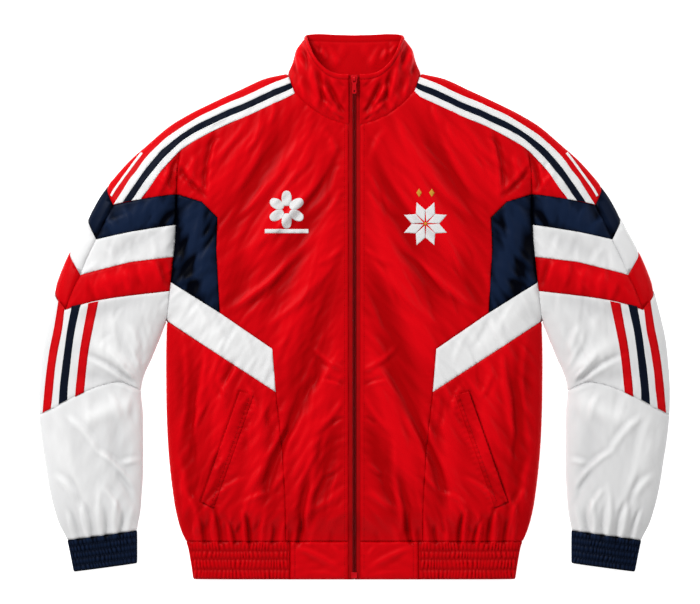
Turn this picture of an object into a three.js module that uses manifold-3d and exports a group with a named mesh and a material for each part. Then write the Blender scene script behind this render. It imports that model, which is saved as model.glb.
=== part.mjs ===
// Track jacket laid flat on its back, in millimetres, +Z up, +Y towards the collar.
// Each side is written once with x measured outwards from the zip, then mirrored.
import * as THREE from 'three';
import Module from 'manifold-3d';

const wasm = await Module();
wasm.setup();
const { Manifold, Mesh: SolidMesh } = wasm;

// Cloth
const WALL = 1.4;
const BAND_WALL = 2.0;
const COLLAR_WALL = 2.2;
const TAPE_WALL = 0.9;
const WELT_WALL = 1.5;
const SEAM_GAP = 0.3;
const LAY_GAP = 0.35;

// Shape of the flattened tubes
const FOLD_Z = 5;
const FOLD_REACH = 5;
const FOLD_TURN = 8;
const EASE = 14;
const RISE = 62;
const BODY_PUFF = 26;
const HEM_PUFF = 16;
const VALLEY_WIDTH = 11;

// Zip, hem and collar
const ZIP_HALF = 7.8;
const ZIP_TAPE_DROP = 0.5;
const COIL_HALF = 3;
const COIL_RISE = 1.5;
const ZIP_STEP = 24;
const HEM_TOP = -333.5;
const HEM_BOTTOM = -387.3;
const TAB_HALF = 91.3;
const UNDERARM_Y = -20;
const COLLAR_RIM_Z = 37;
const COLLAR_SIDE_Z = 8;
const COLLAR_RISE = 46;

// Pleats and gathers
const HEM_PLEAT = 6.6;
const HEM_PLEAT_DEPTH = 1.5;
const CUFF_PLEAT = 7.4;
const CUFF_PLEAT_DEPTH = 1.6;
const HEM_GATHER = 13.2;
const HEM_GATHER_DEPTH = 4.2;
const HEM_GATHER_REACH = 46;
const CUFF_GATHER = 14;
const CUFF_GATHER_DEPTH = 3.6;
const CUFF_GATHER_REACH = 62;

// Lattice spacing
const BODY_COLUMN = 24;
const BODY_ROW = 24;

// Slider and pull, in their own frame: x across, y up the zip, z out of the cloth
const SLIDER_Y = 323.5;
const SLIDER_LIFT = 1.9;
const SLIDER_PLATE = 1.8;
const SLIDER_HALF = 4.6;
const SLIDER_LENGTH = 11;
const BRIDGE_HALF = 1.3;
const BRIDGE_LENGTH = 7;
const BRIDGE_HEIGHT = 3.6;
const TUNNEL_LENGTH = 3.4;
const TUNNEL_HEIGHT = 2.3;
const PIVOT_Z = 5.3;
const PIVOT_R = 0.7;
const CHEEK_HALF = 3.2;
const PULL_WALL = 1.4;
const PULL_LENGTH = 21;
const PULL_HOLE_R = 1.5;

// Sleeve sections from the neck to the cuff: the point on the outer outline, the point on the
// armhole seam or inner fold, how high the cloth puffs, and how deep the armhole is drawn in.
const SLEEVE_STATIONS = [
  { outX: 94.9, outY: 331.6, inX: 86.9, inY: 309.6, puff: 26, dip: 0 },
  { outX: 125.4, outY: 325.1, inX: 111.2, inY: 293.2, puff: 26, dip: 0 },
  { outX: 163.7, outY: 308.1, inX: 146.0, inY: 276.5, puff: 26, dip: 0 },
  { outX: 200.6, outY: 291.0, inX: 185.0, inY: 258.2, puff: 26, dip: 0 },
  { outX: 234.7, outY: 274.0, inX: 214.8, inY: 244.6, puff: 26, dip: 0 },
  { outX: 267.4, outY: 253.4, inX: 246.1, inY: 223.6, puff: 26, dip: 0.5 },
  { outX: 293.7, outY: 230.7, inX: 250.3, inY: 201.6, puff: 26, dip: 2.5 },
  { outX: 318.5, outY: 208.7, inX: 251.8, inY: 177.4, puff: 26, dip: 4.5 },
  { outX: 341.2, outY: 183.8, inX: 252.5, inY: 150.4, puff: 26, dip: 6.5 },
  { outX: 361.1, outY: 158.3, inX: 253.2, inY: 122.0, puff: 26, dip: 8.5 },
  { outX: 377.2, outY: 129.6, inX: 254.9, inY: 90.8, puff: 26, dip: 9.5 },
  { outX: 392.3, outY: 101.5, inX: 257.9, inY: 61.0, puff: 26, dip: 9.0 },
  { outX: 405.1, outY: 78.0, inX: 260.9, inY: 32.6, puff: 26, dip: 6.5 },
  { outX: 416.5, outY: 52.5, inX: 264.0, inY: 4.2, puff: 26, dip: 3.0 },
  { outX: 425.7, outY: 26.2, inX: 267.1, inY: -20.0, puff: 26, dip: 0 },
  { outX: 432.1, outY: 1.3, inX: 271.2, inY: -31.3, puff: 25, dip: 0 },
  { outX: 437.8, outY: -21.4, inX: 276.5, inY: -45.5, puff: 25, dip: 0 },
  { outX: 442.8, outY: -44.1, inX: 282.3, inY: -59.7, puff: 25, dip: 0 },
  { outX: 445.6, outY: -66.8, inX: 288.7, inY: -75.3, puff: 24, dip: 0 },
  { outX: 447.7, outY: -89.5, inX: 295.4, inY: -89.5, puff: 24, dip: 0 },
  { outX: 449.1, outY: -112.3, inX: 301.5, inY: -108.0, puff: 24, dip: 0 },
  { outX: 449.1, outY: -133.6, inX: 302.6, inY: -126.5, puff: 24, dip: 0 },
  { outX: 448.3, outY: -156.3, inX: 300.6, inY: -147.8, puff: 25, dip: 0 },
  { outX: 444.9, outY: -188.9, inX: 300.0, inY: -179.0, puff: 25, dip: 0 },
  { outX: 439.9, outY: -220.2, inX: 300.0, inY: -210.2, puff: 24, dip: 0 },
  { outX: 434.9, outY: -252.8, inX: 300.3, inY: -240.1, puff: 23, dip: 0 },
  { outX: 427.8, outY: -284.1, inX: 302.0, inY: -267.0, puff: 22, dip: 0 },
  { outX: 420.0, outY: -308.2, inX: 304.0, inY: -291.2, puff: 20, dip: 0 },
  { outX: 408.5, outY: -331.8, inX: 308.6, inY: -317.8, puff: 15, dip: 0 },
  { outX: 405.0, outY: -347.0, inX: 308.6, inY: -333.3, puff: 14, dip: 0 },
  { outX: 402.0, outY: -362.0, inX: 308.6, inY: -349.0, puff: 14, dip: 0 },
  { outX: 399.2, outY: -376.8, inX: 308.7, inY: -364.6, puff: 14, dip: 0 },
];
const SADDLE_ROW = 5;
const UNDERARM_ROW = 14;
const GATHER_ROW = 25;
const CUFF_ROW = 28;
// How far the shoulder strip reaches behind the outline, where it ends above the sleeve bands.
const SADDLE_BACK = 14;

// Side fold of the body, from the underarm to the hem.
const BODY_SIDE = [
  { y: -20.0, x: 266.5 },
  { y: -61.1, x: 267.7 },
  { y: -103.7, x: 267.7 },
  { y: -160.5, x: 266.7 },
  { y: -203.1, x: 264.5 },
  { y: -259.9, x: 258.6 },
  { y: -288.3, x: 254.2 },
  { y: -316.7, x: 246.7 },
  { y: -339.5, x: 237.3 },
  { y: -359.3, x: 233.3 },
  { y: -387.3, x: 229.0 },
];

// Edges of the three shoulder tapes, as distances from the zip at each height.
const TAPE_ROWS = [
  {
    y: 308.1, upperOut: 139.6, upperIn: 124.0, middleOut: 118.3,
    middleIn: 101.2, lowerOut: 96.0, lowerIn: 90.5,
  },
  {
    y: 291.0, upperOut: 175.1, upperIn: 160.9, middleOut: 155.2,
    middleIn: 135.3, lowerOut: 129.6, lowerIn: 117.4,
  },
  {
    y: 274.0, upperOut: 210.6, upperIn: 199.2, middleOut: 193.5,
    middleIn: 173.7, lowerOut: 166.6, lowerIn: 152.9,
  },
  {
    y: 256.9, upperOut: 241.8, upperIn: 231.9, middleOut: 226.2,
    middleIn: 210.6, lowerOut: 204.9, lowerIn: 189.4,
  },
  {
    y: 237.1, upperOut: 268.8, upperIn: 258.9, middleOut: 256.0,
    middleIn: 246.1, lowerOut: 240.4, lowerIn: 229.0,
  },
  {
    y: 222.9, upperOut: 285.8, upperIn: 277.3, middleOut: 273.1,
    middleIn: 263.0, lowerOut: 259.5, lowerIn: 249.5,
  },
  {
    y: 194.5, upperOut: 310.0, upperIn: 301.5, middleOut: 297.2,
    middleIn: 287.3, lowerOut: 283.0, lowerIn: 274.5,
  },
  {
    y: 166.1, upperOut: 327.0, upperIn: 321.3, middleOut: 317.1,
    middleIn: 308.6, lowerOut: 304.3, lowerIn: 295.8,
  },
];
// Where each tape starts at the neck and where it stops above the first sleeve band.
const TAPE_ENDS = {
  upper: { topOut: [103.5, 324.6], topIn: [94.0, 322.4], endOut: [331.5, 150.9], endIn: [325.6, 152.2] },
  middle: { topOut: [92.5, 319.8], topIn: [90.8, 314.4], endOut: [321.6, 153.0], endIn: [312.6, 155.0] },
  lower: { topOut: [90.2, 312.4], topIn: [89.2, 309.4], endOut: [308.2, 155.6], endIn: [300.0, 156.9] },
};

// V-shaped colour bands of the sleeve: the overarm point, a point on the way and the armhole end.
const CHEVRONS = [
  { tip: [342.6, 144.8], bend: [308.6, 151.9], end: [252.9, 160.1] },
  { tip: [366.8, 95.9], bend: [318.5, 106.4], end: [253.2, 116.4] },
  { tip: [389.1, 45.4], bend: [317.1, 63.8], end: [257.0, 70.9] },
  { tip: [410.5, -4.3], bend: [332.7, 14.1], end: [262.0, 22.4] },
];
const ELBOW = [
  [446.3, -153.4], [429.0, -144.9], [405.8, -131.8], [382.0, -120.3],
  [349.7, -109.4], [329.9, -107.3], [317.4, -111.8], [303.8, -119.5],
];
// Three forearm stripes: outer and inner edge at each height.
const STRIPE_ROWS = [
  {
    y: -32.7, outerOut: 427.8, outerIn: 417.9, middleOut: 405.1,
    middleIn: 395.2, innerOut: 381.0, innerIn: 371.0,
  },
  {
    y: -61.1, outerOut: 432.1, outerIn: 422.2, middleOut: 409.4,
    middleIn: 400.4, innerOut: 387.6, innerIn: 378.1,
  },
  {
    y: -89.5, outerOut: 435.4, outerIn: 426.0, middleOut: 412.7,
    middleIn: 403.7, innerOut: 390.9, innerIn: 381.0,
  },
  {
    y: -117.9, outerOut: 437.8, outerIn: 427.8, middleOut: 415.1,
    middleIn: 406.0, innerOut: 393.3, innerIn: 383.3,
  },
];
const STRIPE_ENDS = {
  outer: { topOut: [420.0, 9.6], topIn: [413.0, -1.8], endOut: [438.8, -149.2], endIn: [428.4, -143.6] },
  middle: { topOut: [398.0, -2.2], topIn: [388.1, 0.2], endOut: [416.6, -137.0], endIn: [406.4, -131.4] },
  inner: { topOut: [375.3, 3.3], topIn: [365.4, 5.7], endOut: [393.6, -125.2], endIn: [383.0, -119.6] },
};

// Seams of the body front.
const NECK_SEAM = [
  [86.9, 309.6], [82.8, 304.8], [69.2, 290.3], [54.7, 278.7], [40.2, 270.0], [25.7, 264.0], [7.8, 259.1],
];
const INSERT_CORNERS = [[216.3, 149.0], [194.1, 126.9], [195.7, 80.9], [190.8, -8.6]];
const INSERT_TOP_Y = 160.1;
const BAND_TOP_Y = 34.9;
const BAND_CORNERS = [[116.4, -59.6], [111.5, -120.8]];
const CENTRE_SEAM = [[103.2, -196.0], [98.4, -271.3], [97.0, HEM_TOP]];
const WELT = [[162.2, -119.9], [142.6, -125.7], [199.1, -285.2], [217.3, -276.4]];

// Collar rings from the zip to the centre back, at the neck seam and at the rim.
const COLLAR_RINGS = [
  { seamX: 7.8, seamY: 259.1, rimX: 7.8, rimY: 328.7, turn: 0 },
  { seamX: 25.7, seamY: 264.0, rimX: 22.0, rimY: 329.0, turn: 0 },
  { seamX: 40.2, seamY: 270.0, rimX: 35.0, rimY: 333.0, turn: 0 },
  { seamX: 54.7, seamY: 278.7, rimX: 47.0, rimY: 342.2, turn: 0 },
  { seamX: 69.2, seamY: 290.3, rimX: 57.0, rimY: 355.0, turn: 0 },
  { seamX: 82.8, seamY: 304.8, rimX: 64.0, rimY: 369.5, turn: 0 },
  { seamX: 87.2, seamY: 312.0, rimX: 67.6, rimY: 379.0, turn: 0 },
  { seamX: 90.8, seamY: 322.0, rimX: 68.9, rimY: 383.0, turn: 0 },
  { seamX: 94.3, seamY: 331.8, rimX: 69.2, rimY: 385.0, turn: 1 },
  { seamX: 91.8, seamY: 325.0, rimX: 68.2, rimY: 385.8, turn: 2 },
  { seamX: 89.2, seamY: 318.0, rimX: 65.0, rimY: 386.4, turn: 3 },
  { seamX: 72.8, seamY: 310.8, rimX: 52.0, rimY: 387.2, turn: 3 },
  { seamX: 41.6, seamY: 308.8, rimX: 28.0, rimY: 386.2, turn: 3 },
  { seamX: 0, seamY: 308.1, rimX: 0, rimY: 385.4, turn: 3 },
];
const COLLAR_ROWS = [0, 0.16, 0.36, 0.58, 0.8, 0.93, 1];

// Largest folds of the front: a soft ridge (or trough, where high is negative) between two points.
const FOLDS = [
  { x0: 60, y0: 240, x1: 150, y1: 60, wide: 13, high: 3.0 },
  { x0: 98, y0: 250, x1: 190, y1: 96, wide: 12, high: -2.6 },
  { x0: 140, y0: 250, x1: 212, y1: 150, wide: 11, high: 2.4 },
  { x0: 28, y0: 210, x1: 120, y1: 0, wide: 13, high: -2.8 },
  { x0: 30, y0: 130, x1: 108, y1: -70, wide: 14, high: 3.0 },
  { x0: 150, y0: 70, x1: 184, y1: -10, wide: 12, high: -2.4 },
  { x0: 26, y0: 40, x1: 92, y1: -130, wide: 13, high: -2.6 },
  { x0: 24, y0: -60, x1: 84, y1: -250, wide: 13, high: 3.0 },
  { x0: 40, y0: -40, x1: 76, y1: -160, wide: 11, high: -2.2 },
  { x0: 22, y0: -170, x1: 62, y1: -300, wide: 12, high: -2.8 },
  { x0: 128, y0: -140, x1: 146, y1: -300, wide: 12, high: 2.8 },
  { x0: 112, y0: -150, x1: 124, y1: -290, wide: 11, high: -2.6 },
  { x0: 205, y0: -60, x1: 178, y1: -230, wide: 14, high: 2.4 },
  { x0: 246, y0: -70, x1: 226, y1: -260, wide: 12, high: -2.4 },
  { x0: 236, y0: 140, x1: 206, y1: 20, wide: 12, high: 2.6 },
  { x0: 246, y0: 96, x1: 222, y1: 0, wide: 11, high: -2.2 },
  { x0: 245, y0: 10, x1: 170, y1: -70, wide: 12, high: 1.8 },
  { x0: 268, y0: 196, x1: 300, y1: 168, wide: 11, high: 2.4 },
  { x0: 270, y0: 150, x1: 340, y1: 110, wide: 13, high: 2.6 },
  { x0: 274, y0: 104, x1: 356, y1: 66, wide: 12, high: -2.4 },
  { x0: 280, y0: 56, x1: 372, y1: 30, wide: 12, high: 2.4 },
  { x0: 296, y0: 10, x1: 392, y1: -20, wide: 13, high: -2.4 },
  { x0: 306, y0: -96, x1: 372, y1: -50, wide: 12, high: 3.0 },
  { x0: 308, y0: -112, x1: 392, y1: -96, wide: 11, high: -2.6 },
  { x0: 310, y0: -132, x1: 396, y1: -168, wide: 12, high: 2.8 },
  { x0: 430, y0: -180, x1: 396, y1: -260, wide: 12, high: 2.4 },
  { x0: 340, y0: -150, x1: 330, y1: -260, wide: 13, high: -2.2 },
];
const COLLAR_FOLDS = [
  { x0: 80, y0: 366, x1: 49, y1: 281, wide: 6, high: 1.8 },
  { x0: 62, y0: 342, x1: 49, y1: 281, wide: 6, high: -1.6 },
  { x0: 47, y0: 314, x1: 19, y1: 279, wide: 7, high: 1.8 },
];

const COLOURS = {
  red: { colour: 0xc8101c, roughness: 0.5 },
  white: { colour: 0xeeeeee, roughness: 0.55 },
  navy: { colour: 0x0b1a33, roughness: 0.5 },
  tape: { colour: 0x9c0b16, roughness: 0.7 },
  metal: { colour: 0xb3121d, roughness: 0.35, metalness: 0.6 },
};

const clamp = (value, low, high) => Math.min(high, Math.max(low, value));
const lerp = (a, b, t) => a + (b - a) * t;
const smooth = (t) => t * t * (3 - 2 * t);

/** Value of one column of a table at a height, the table running down in y. */
function column(table, y, name) {
  let i = 0;
  while (i < table.length - 2 && y < table[i + 1].y) i += 1;
  const a = table[i];
  const b = table[i + 1];
  return lerp(a[name], b[name], clamp((y - a.y) / (b.y - a.y), 0, 1));
}

/** Nearest point of a chain of points: its distance, and how far along the chain it lies. */
function nearest(chain, x, y) {
  let best = { distance: Infinity, along: 0 };
  for (let i = 0; i + 1 < chain.length; i += 1) {
    const [ax, ay] = chain[i];
    const dx = chain[i + 1][0] - ax;
    const dy = chain[i + 1][1] - ay;
    const t = clamp(((x - ax) * dx + (y - ay) * dy) / (dx * dx + dy * dy), 0, 1);
    const distance = Math.hypot(x - ax - t * dx, y - ay - t * dy);
    if (distance < best.distance) best = { distance, along: i + t };
  }
  return best;
}

const OUT = SLEEVE_STATIONS.map((row) => [row.outX, row.outY]);
const IN = SLEEVE_STATIONS.map((row) => [row.inX, row.inY]);
const OPEN_END = 120;
const beyond = (a, b) => {
  const length = Math.hypot(b[0] - a[0], b[1] - a[1]);
  return [b[0] + ((b[0] - a[0]) * OPEN_END) / length, b[1] + ((b[1] - a[1]) * OPEN_END) / length];
};
const LAST = OUT.length - 1;
const COLLAR_SIDE = [[69.2, 384.5], [78.5, 367.0], [84.3, 349.7], [86.5, 341.0]];
const OUTER_EDGE = [...COLLAR_SIDE, ...OUT, beyond(OUT[LAST - 1], OUT[LAST])];
const SIDE_EDGE = BODY_SIDE.map((row) => [row.x, row.y]);
const SLEEVE_EDGE = [...IN.slice(UNDERARM_ROW), beyond(IN[LAST - 1], IN[LAST])];
const INNER_EDGE = [
  ...[...SLEEVE_EDGE].reverse(),
  ...SIDE_EDGE,
  beyond(SIDE_EDGE[SIDE_EDGE.length - 2], SIDE_EDGE[SIDE_EDGE.length - 1]),
];
const ARMHOLE = IN.slice(SADDLE_ROW, UNDERARM_ROW + 1);

/** Rise of the cloth from a fold towards the middle, 0 to 1. */
function rise(distance) {
  const t = clamp(distance / RISE, 0, 1);
  return Math.sqrt(t * (2 - t));
}

/** Depth by which the armhole seam draws the cloth in. */
function armholeDip(x, y) {
  const { distance, along } = nearest(ARMHOLE, x, y);
  const i = Math.min(Math.floor(along), ARMHOLE.length - 2);
  const rows = SLEEVE_STATIONS.slice(SADDLE_ROW + i, SADDLE_ROW + i + 2);
  return lerp(rows[0].dip, rows[1].dip, along - i) * Math.exp(-distance / VALLEY_WIDTH);
}

/** How high the body's cloth puffs at a height. */
function bodyPuff(y) {
  return lerp(HEM_PUFF, BODY_PUFF, smooth(clamp((y - HEM_TOP) / HEM_GATHER_REACH, 0, 1)));
}

/** Outer height of the upper layer over the table, without its folds. */
function height(x, y, puff) {
  const outer = rise(nearest(OUTER_EDGE, x, y).distance);
  const inner = rise(nearest(INNER_EDGE, x, y).distance);
  return Math.max(FOLD_Z, FOLD_Z + (puff - FOLD_Z) * outer * inner - armholeDip(x, y));
}

/** Height of a set of soft ridges and troughs at a point. */
function foldHeight(folds, x, y) {
  let sum = 0;
  for (const fold of folds) {
    const dx = fold.x1 - fold.x0;
    const dy = fold.y1 - fold.y0;
    const length = Math.hypot(dx, dy);
    const along = ((x - fold.x0) * dx + (y - fold.y0) * dy) / (length * length);
    const across = ((x - fold.x0) * dy - (y - fold.y0) * dx) / length;
    const taper = Math.exp(-((2 * along - 1) ** 4));
    sum += fold.high * taper * Math.exp(-((across / fold.wide) ** 2));
  }
  return sum;
}

/** Fades to 0 at the outline folds and beside the zip, where the cloth is held. */
function freedom(x, y) {
  const edges = Math.min(nearest(OUTER_EDGE, x, y).distance, nearest(INNER_EDGE, x, y).distance);
  return smooth(clamp(edges / 26, 0, 1)) * smooth(clamp((x - ZIP_HALF) / 14, 0, 1));
}

/** Wave of gathers, 1 on a ridge and -1 in a trough. */
const wave = (distance, pitch) => Math.cos((2 * Math.PI * distance) / pitch);

/** Map of the distance along a section to the plan distance from its fold, and back. */
const easeOut = (u, ease) => (ease > 0 && u < ease ? (u * u) / (2 * ease) : u - ease / 2);
const easeIn = (a, ease) => (ease > 0 && a < ease / 2 ? Math.sqrt(2 * ease * Math.max(a, 0)) : a + ease / 2);

/** Point on the turned edge of a tube: plan distance from the fold and height. */
function turn(distance) {
  const angle = (clamp(distance / FOLD_TURN, 0, 1) * Math.PI) / 2;
  const flat = Math.max(0, distance - FOLD_TURN);
  return { reach: FOLD_REACH * (1 - Math.cos(angle)) + flat, z: FOLD_Z * (1 - Math.sin(angle)) };
}

// The body, laid out with u as the distance from the zip and s as the height y.

const bodyEdge = (y) => {
  if (y <= UNDERARM_Y) return column(BODY_SIDE, y, 'x');
  const rows = SLEEVE_STATIONS.slice(0, UNDERARM_ROW + 1).map((row) => ({ y: row.inY, x: row.inX }));
  return column(rows, y, 'x');
};
const bodyEase = (y) => EASE * clamp((UNDERARM_Y - y) / 40, 0, 1);
const bodyFoldAt = (y) => bodyEdge(y) + bodyEase(y) / 2;

function bodyBase(u, s) {
  const edge = bodyEdge(s);
  const over = u - bodyFoldAt(s);
  if (s <= UNDERARM_Y && over > 0) {
    const { reach, z } = turn(over);
    return [edge - reach, s, z];
  }
  const x = edge - easeOut(-over, bodyEase(s));
  return [x, s, height(Math.abs(x), s, bodyPuff(s))];
}

function bodyFold(u, s) {
  if (u > bodyFoldAt(s)) return 0;
  const [x, y] = bodyBase(u, s);
  const above = clamp((y - HEM_TOP) / HEM_GATHER_REACH, 0, 1);
  const gathered = smooth(clamp((x - TAB_HALF + 8) / 10, 0, 1));
  const pull = HEM_GATHER_DEPTH * gathered * (1 - smooth(above)) * wave(x - TAB_HALF, HEM_GATHER);
  const free = freedom(x, y);
  if (y < HEM_TOP) return 0;
  return free * (foldHeight(FOLDS, x, y) * smooth(clamp(above * 1.2, 0, 1)) + 0.5 * pull);
}

const bodyPoint = ([x, y]) => [bodyFoldAt(y) - easeIn(bodyEdge(y) - x, bodyEase(y)), y];

// The sleeve, laid out with u as the distance from the outline fold and s down its length.

const LENGTHS = [0];
for (let i = 1; i <= LAST; i += 1) {
  const dx = (OUT[i][0] + IN[i][0] - OUT[i - 1][0] - IN[i - 1][0]) / 2;
  const dy = (OUT[i][1] + IN[i][1] - OUT[i - 1][1] - IN[i - 1][1]) / 2;
  LENGTHS.push(LENGTHS[i - 1] + Math.hypot(dx, dy));
}
const CUFF_S = LENGTHS[CUFF_ROW];

/** One section of the sleeve: its two ends, its puff and how its ends turn. */
function section(s) {
  let i = 0;
  while (i < LAST - 1 && s > LENGTHS[i + 1]) i += 1;
  const t = (s - LENGTHS[i]) / (LENGTHS[i + 1] - LENGTHS[i]);
  const from = SLEEVE_STATIONS[i];
  const to = SLEEVE_STATIONS[i + 1];
  const out = [lerp(from.outX, to.outX, t), lerp(from.outY, to.outY, t)];
  const inner = [lerp(from.inX, to.inX, t), lerp(from.inY, to.inY, t)];
  const width = Math.hypot(inner[0] - out[0], inner[1] - out[1]);
  const ease = EASE * clamp((s - LENGTHS[UNDERARM_ROW]) / 40, 0, 1);
  const across = [(inner[0] - out[0]) / width, (inner[1] - out[1]) / width];
  return { out, width, across, puff: lerp(from.puff, to.puff, t), ease, span: width + (EASE + ease) / 2 };
}

const closesAt = (s) => s >= LENGTHS[UNDERARM_ROW];

function sleeveBase(u, s) {
  const { out, width, across, puff, ease, span } = section(s);
  const at = (a, z) => [out[0] + across[0] * a, out[1] + across[1] * a, z];
  if (u < 0) {
    const { reach, z } = turn(-u);
    return at(reach, z);
  }
  if (u > span && closesAt(s)) {
    const { reach, z } = turn(u - span);
    return at(width - reach, z);
  }
  const fromInner = easeOut(span - u, ease);
  const a = u < EASE ? easeOut(u, EASE) : width - fromInner;
  const [x, y] = at(a, 0);
  return [x, y, height(x, y, puff)];
}

function sleeveFold(u, s) {
  const { span } = section(s);
  if (u < 0 || u > span) return 0;
  const [x, y] = sleeveBase(u, s);
  const free = freedom(x, y);
  const above = clamp((CUFF_S - s) / CUFF_GATHER_REACH, 0, 1);
  const pitch = (CUFF_GATHER * span) / section(CUFF_S).span;
  const pull = CUFF_GATHER_DEPTH * (1 - smooth(above)) * wave(u - span / 2, pitch);
  if (s > CUFF_S) return 0;
  return free * (foldHeight(FOLDS, x, y) * smooth(above) + 0.5 * pull);
}

/** Place of a plan point on the sleeve's layout. */
function sleevePoint([x, y]) {
  const side = (s) => {
    const { out, across } = section(s);
    return across[0] * (y - out[1]) - across[1] * (x - out[0]);
  };
  let best = null;
  for (let i = 0; i < LAST; i += 1) {
    let low = LENGTHS[i];
    let high = LENGTHS[i + 1];
    if (side(low) * side(high) > 0) continue;
    for (let n = 0; n < 40; n += 1) {
      const middle = (low + high) / 2;
      if (side(low) * side(middle) <= 0) high = middle;
      else low = middle;
    }
    const { out, across, width, ease, span } = section(low);
    const a = across[0] * (x - out[0]) + across[1] * (y - out[1]);
    const miss = Math.max(0, -a, a - width);
    const u = a < EASE ? easeIn(a, EASE) : span - easeIn(width - a, ease);
    if (!best || miss < best.miss) best = { miss, point: [u, low] };
  }
  return best.point;
}

// Sheets: a lattice of points on the cloth, from which every piece is cut.

/** Outward unit normal of a surface at a layout point. */
function normalAt(base, u, s) {
  const step = 0.5;
  const a = new THREE.Vector3(...base(u + step, s)).sub(new THREE.Vector3(...base(u - step, s)));
  const b = new THREE.Vector3(...base(u, s + step)).sub(new THREE.Vector3(...base(u, s - step)));
  return a.cross(b).normalize();
}

/** Lattice of rows with their own columns, joined by triangles in the order of their places. */
function makeSheet(rows, base, fold) {
  const nodes = [];
  const starts = [];
  for (const row of rows) {
    starts.push(nodes.length);
    for (const { u } of row.columns) {
      const normal = normalAt(base, u, row.s);
      const point = new THREE.Vector3(...base(u, row.s)).addScaledVector(normal, fold(u, row.s));
      nodes.push({ u, s: row.s, point, normal });
    }
  }
  const bands = [];
  for (let r = 0; r + 1 < rows.length; r += 1) {
    const lower = rows[r].columns;
    const upper = rows[r + 1].columns;
    const band = [];
    let i = 0;
    let j = 0;
    while (i < lower.length - 1 || j < upper.length - 1) {
      const lowerNext = i < lower.length - 1 ? lower[i + 1].place : Infinity;
      const upperNext = j < upper.length - 1 ? upper[j + 1].place : Infinity;
      const a = starts[r] + i;
      const b = starts[r + 1] + j;
      if (lowerNext <= upperNext) {
        band.push([a, a + 1, b]);
        i += 1;
      } else {
        band.push([a, b + 1, b]);
        j += 1;
      }
    }
    bands.push({ low: rows[r].s, high: rows[r + 1].s, triangles: band });
  }
  return { nodes, starts, rows, bands };
}

const SLAB = 10;
const BUMP = 0.6;

/** The lattice as a thick slab in the layout plane, a little uneven so that no point is dropped. */
function slabOf(sheet) {
  const count = sheet.nodes.length;
  const positions = new Float32Array(count * 6);
  sheet.nodes.forEach((node, i) => {
    const lift = SLAB + BUMP * (((i * 7919) % 97) / 97);
    positions.set([node.u, node.s, lift], i * 3);
    positions.set([node.u, node.s, -lift], (count + i) * 3);
  });
  const triangles = [];
  for (const band of sheet.bands) {
    for (const [a, b, c] of band.triangles) {
      triangles.push(a, b, c, count + a, count + c, count + b);
    }
  }
  const first = sheet.rows[0].columns.length;
  const last = sheet.rows[sheet.rows.length - 1].columns.length;
  const rim = [];
  for (let i = 0; i < first; i += 1) rim.push(i);
  for (let r = 1; r < sheet.rows.length; r += 1) rim.push(sheet.starts[r] + sheet.rows[r].columns.length - 1);
  for (let i = last - 2; i >= 0; i -= 1) rim.push(sheet.starts[sheet.rows.length - 1] + i);
  for (let r = sheet.rows.length - 2; r > 0; r -= 1) rim.push(sheet.starts[r]);
  rim.forEach((a, i) => {
    const b = rim[(i + 1) % rim.length];
    triangles.push(a, count + a, b, b, count + a, count + b);
  });
  return solidFrom(positions, triangles);
}

function solidFrom(positions, triangles) {
  const mesh = new SolidMesh({
    numProp: 3,
    vertProperties: Float32Array.from(positions),
    triVerts: Uint32Array.from(triangles),
  });
  mesh.merge();
  return new Manifold(mesh);
}

/** Solid with its faces outwards, whichever way round its triangles were listed. */
function facingOut(positions, triangles) {
  const solid = solidFrom(positions, triangles);
  return solid.volume() > 0 ? solid : solidFrom(positions, [...triangles].reverse());
}

const signedArea = (outline) =>
  outline.reduce((sum, [x, y], i) => {
    const [nx, ny] = outline[(i + 1) % outline.length];
    return sum + (x * ny - nx * y) / 2;
  }, 0);

/** Outline moved inwards by a distance, counter-clockwise. */
function inset(outline, distance) {
  const points = signedArea(outline) < 0 ? [...outline].reverse() : outline;
  return points.map((point, i) => {
    const before = points[(i + points.length - 1) % points.length];
    const after = points[(i + 1) % points.length];
    const a = new THREE.Vector2(point[0] - before[0], point[1] - before[1]).normalize();
    const b = new THREE.Vector2(after[0] - point[0], after[1] - point[1]).normalize();
    const bisector = new THREE.Vector2(-a.y - b.y, a.x + b.x).normalize();
    const reach = distance / Math.max(0.35, bisector.dot(new THREE.Vector2(-a.y, a.x)));
    return [point[0] + bisector.x * reach, point[1] + bisector.y * reach];
  });
}

/** Upright prism on an outline. */
function prism(outline, low, high) {
  const count = outline.length;
  const positions = [];
  for (const [x, y] of outline) positions.push(x, y, high);
  for (const [x, y] of outline) positions.push(x, y, low);
  const faces = THREE.ShapeUtils.triangulateShape(outline.map(([x, y]) => new THREE.Vector2(x, y)), []);
  const triangles = [];
  for (const [a, b, c] of faces) triangles.push(a, b, c, count + a, count + c, count + b);
  for (let i = 0; i < count; i += 1) {
    const j = (i + 1) % count;
    triangles.push(i, count + i, j, j, count + i, count + j);
  }
  return solidFrom(positions, triangles);
}

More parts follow.
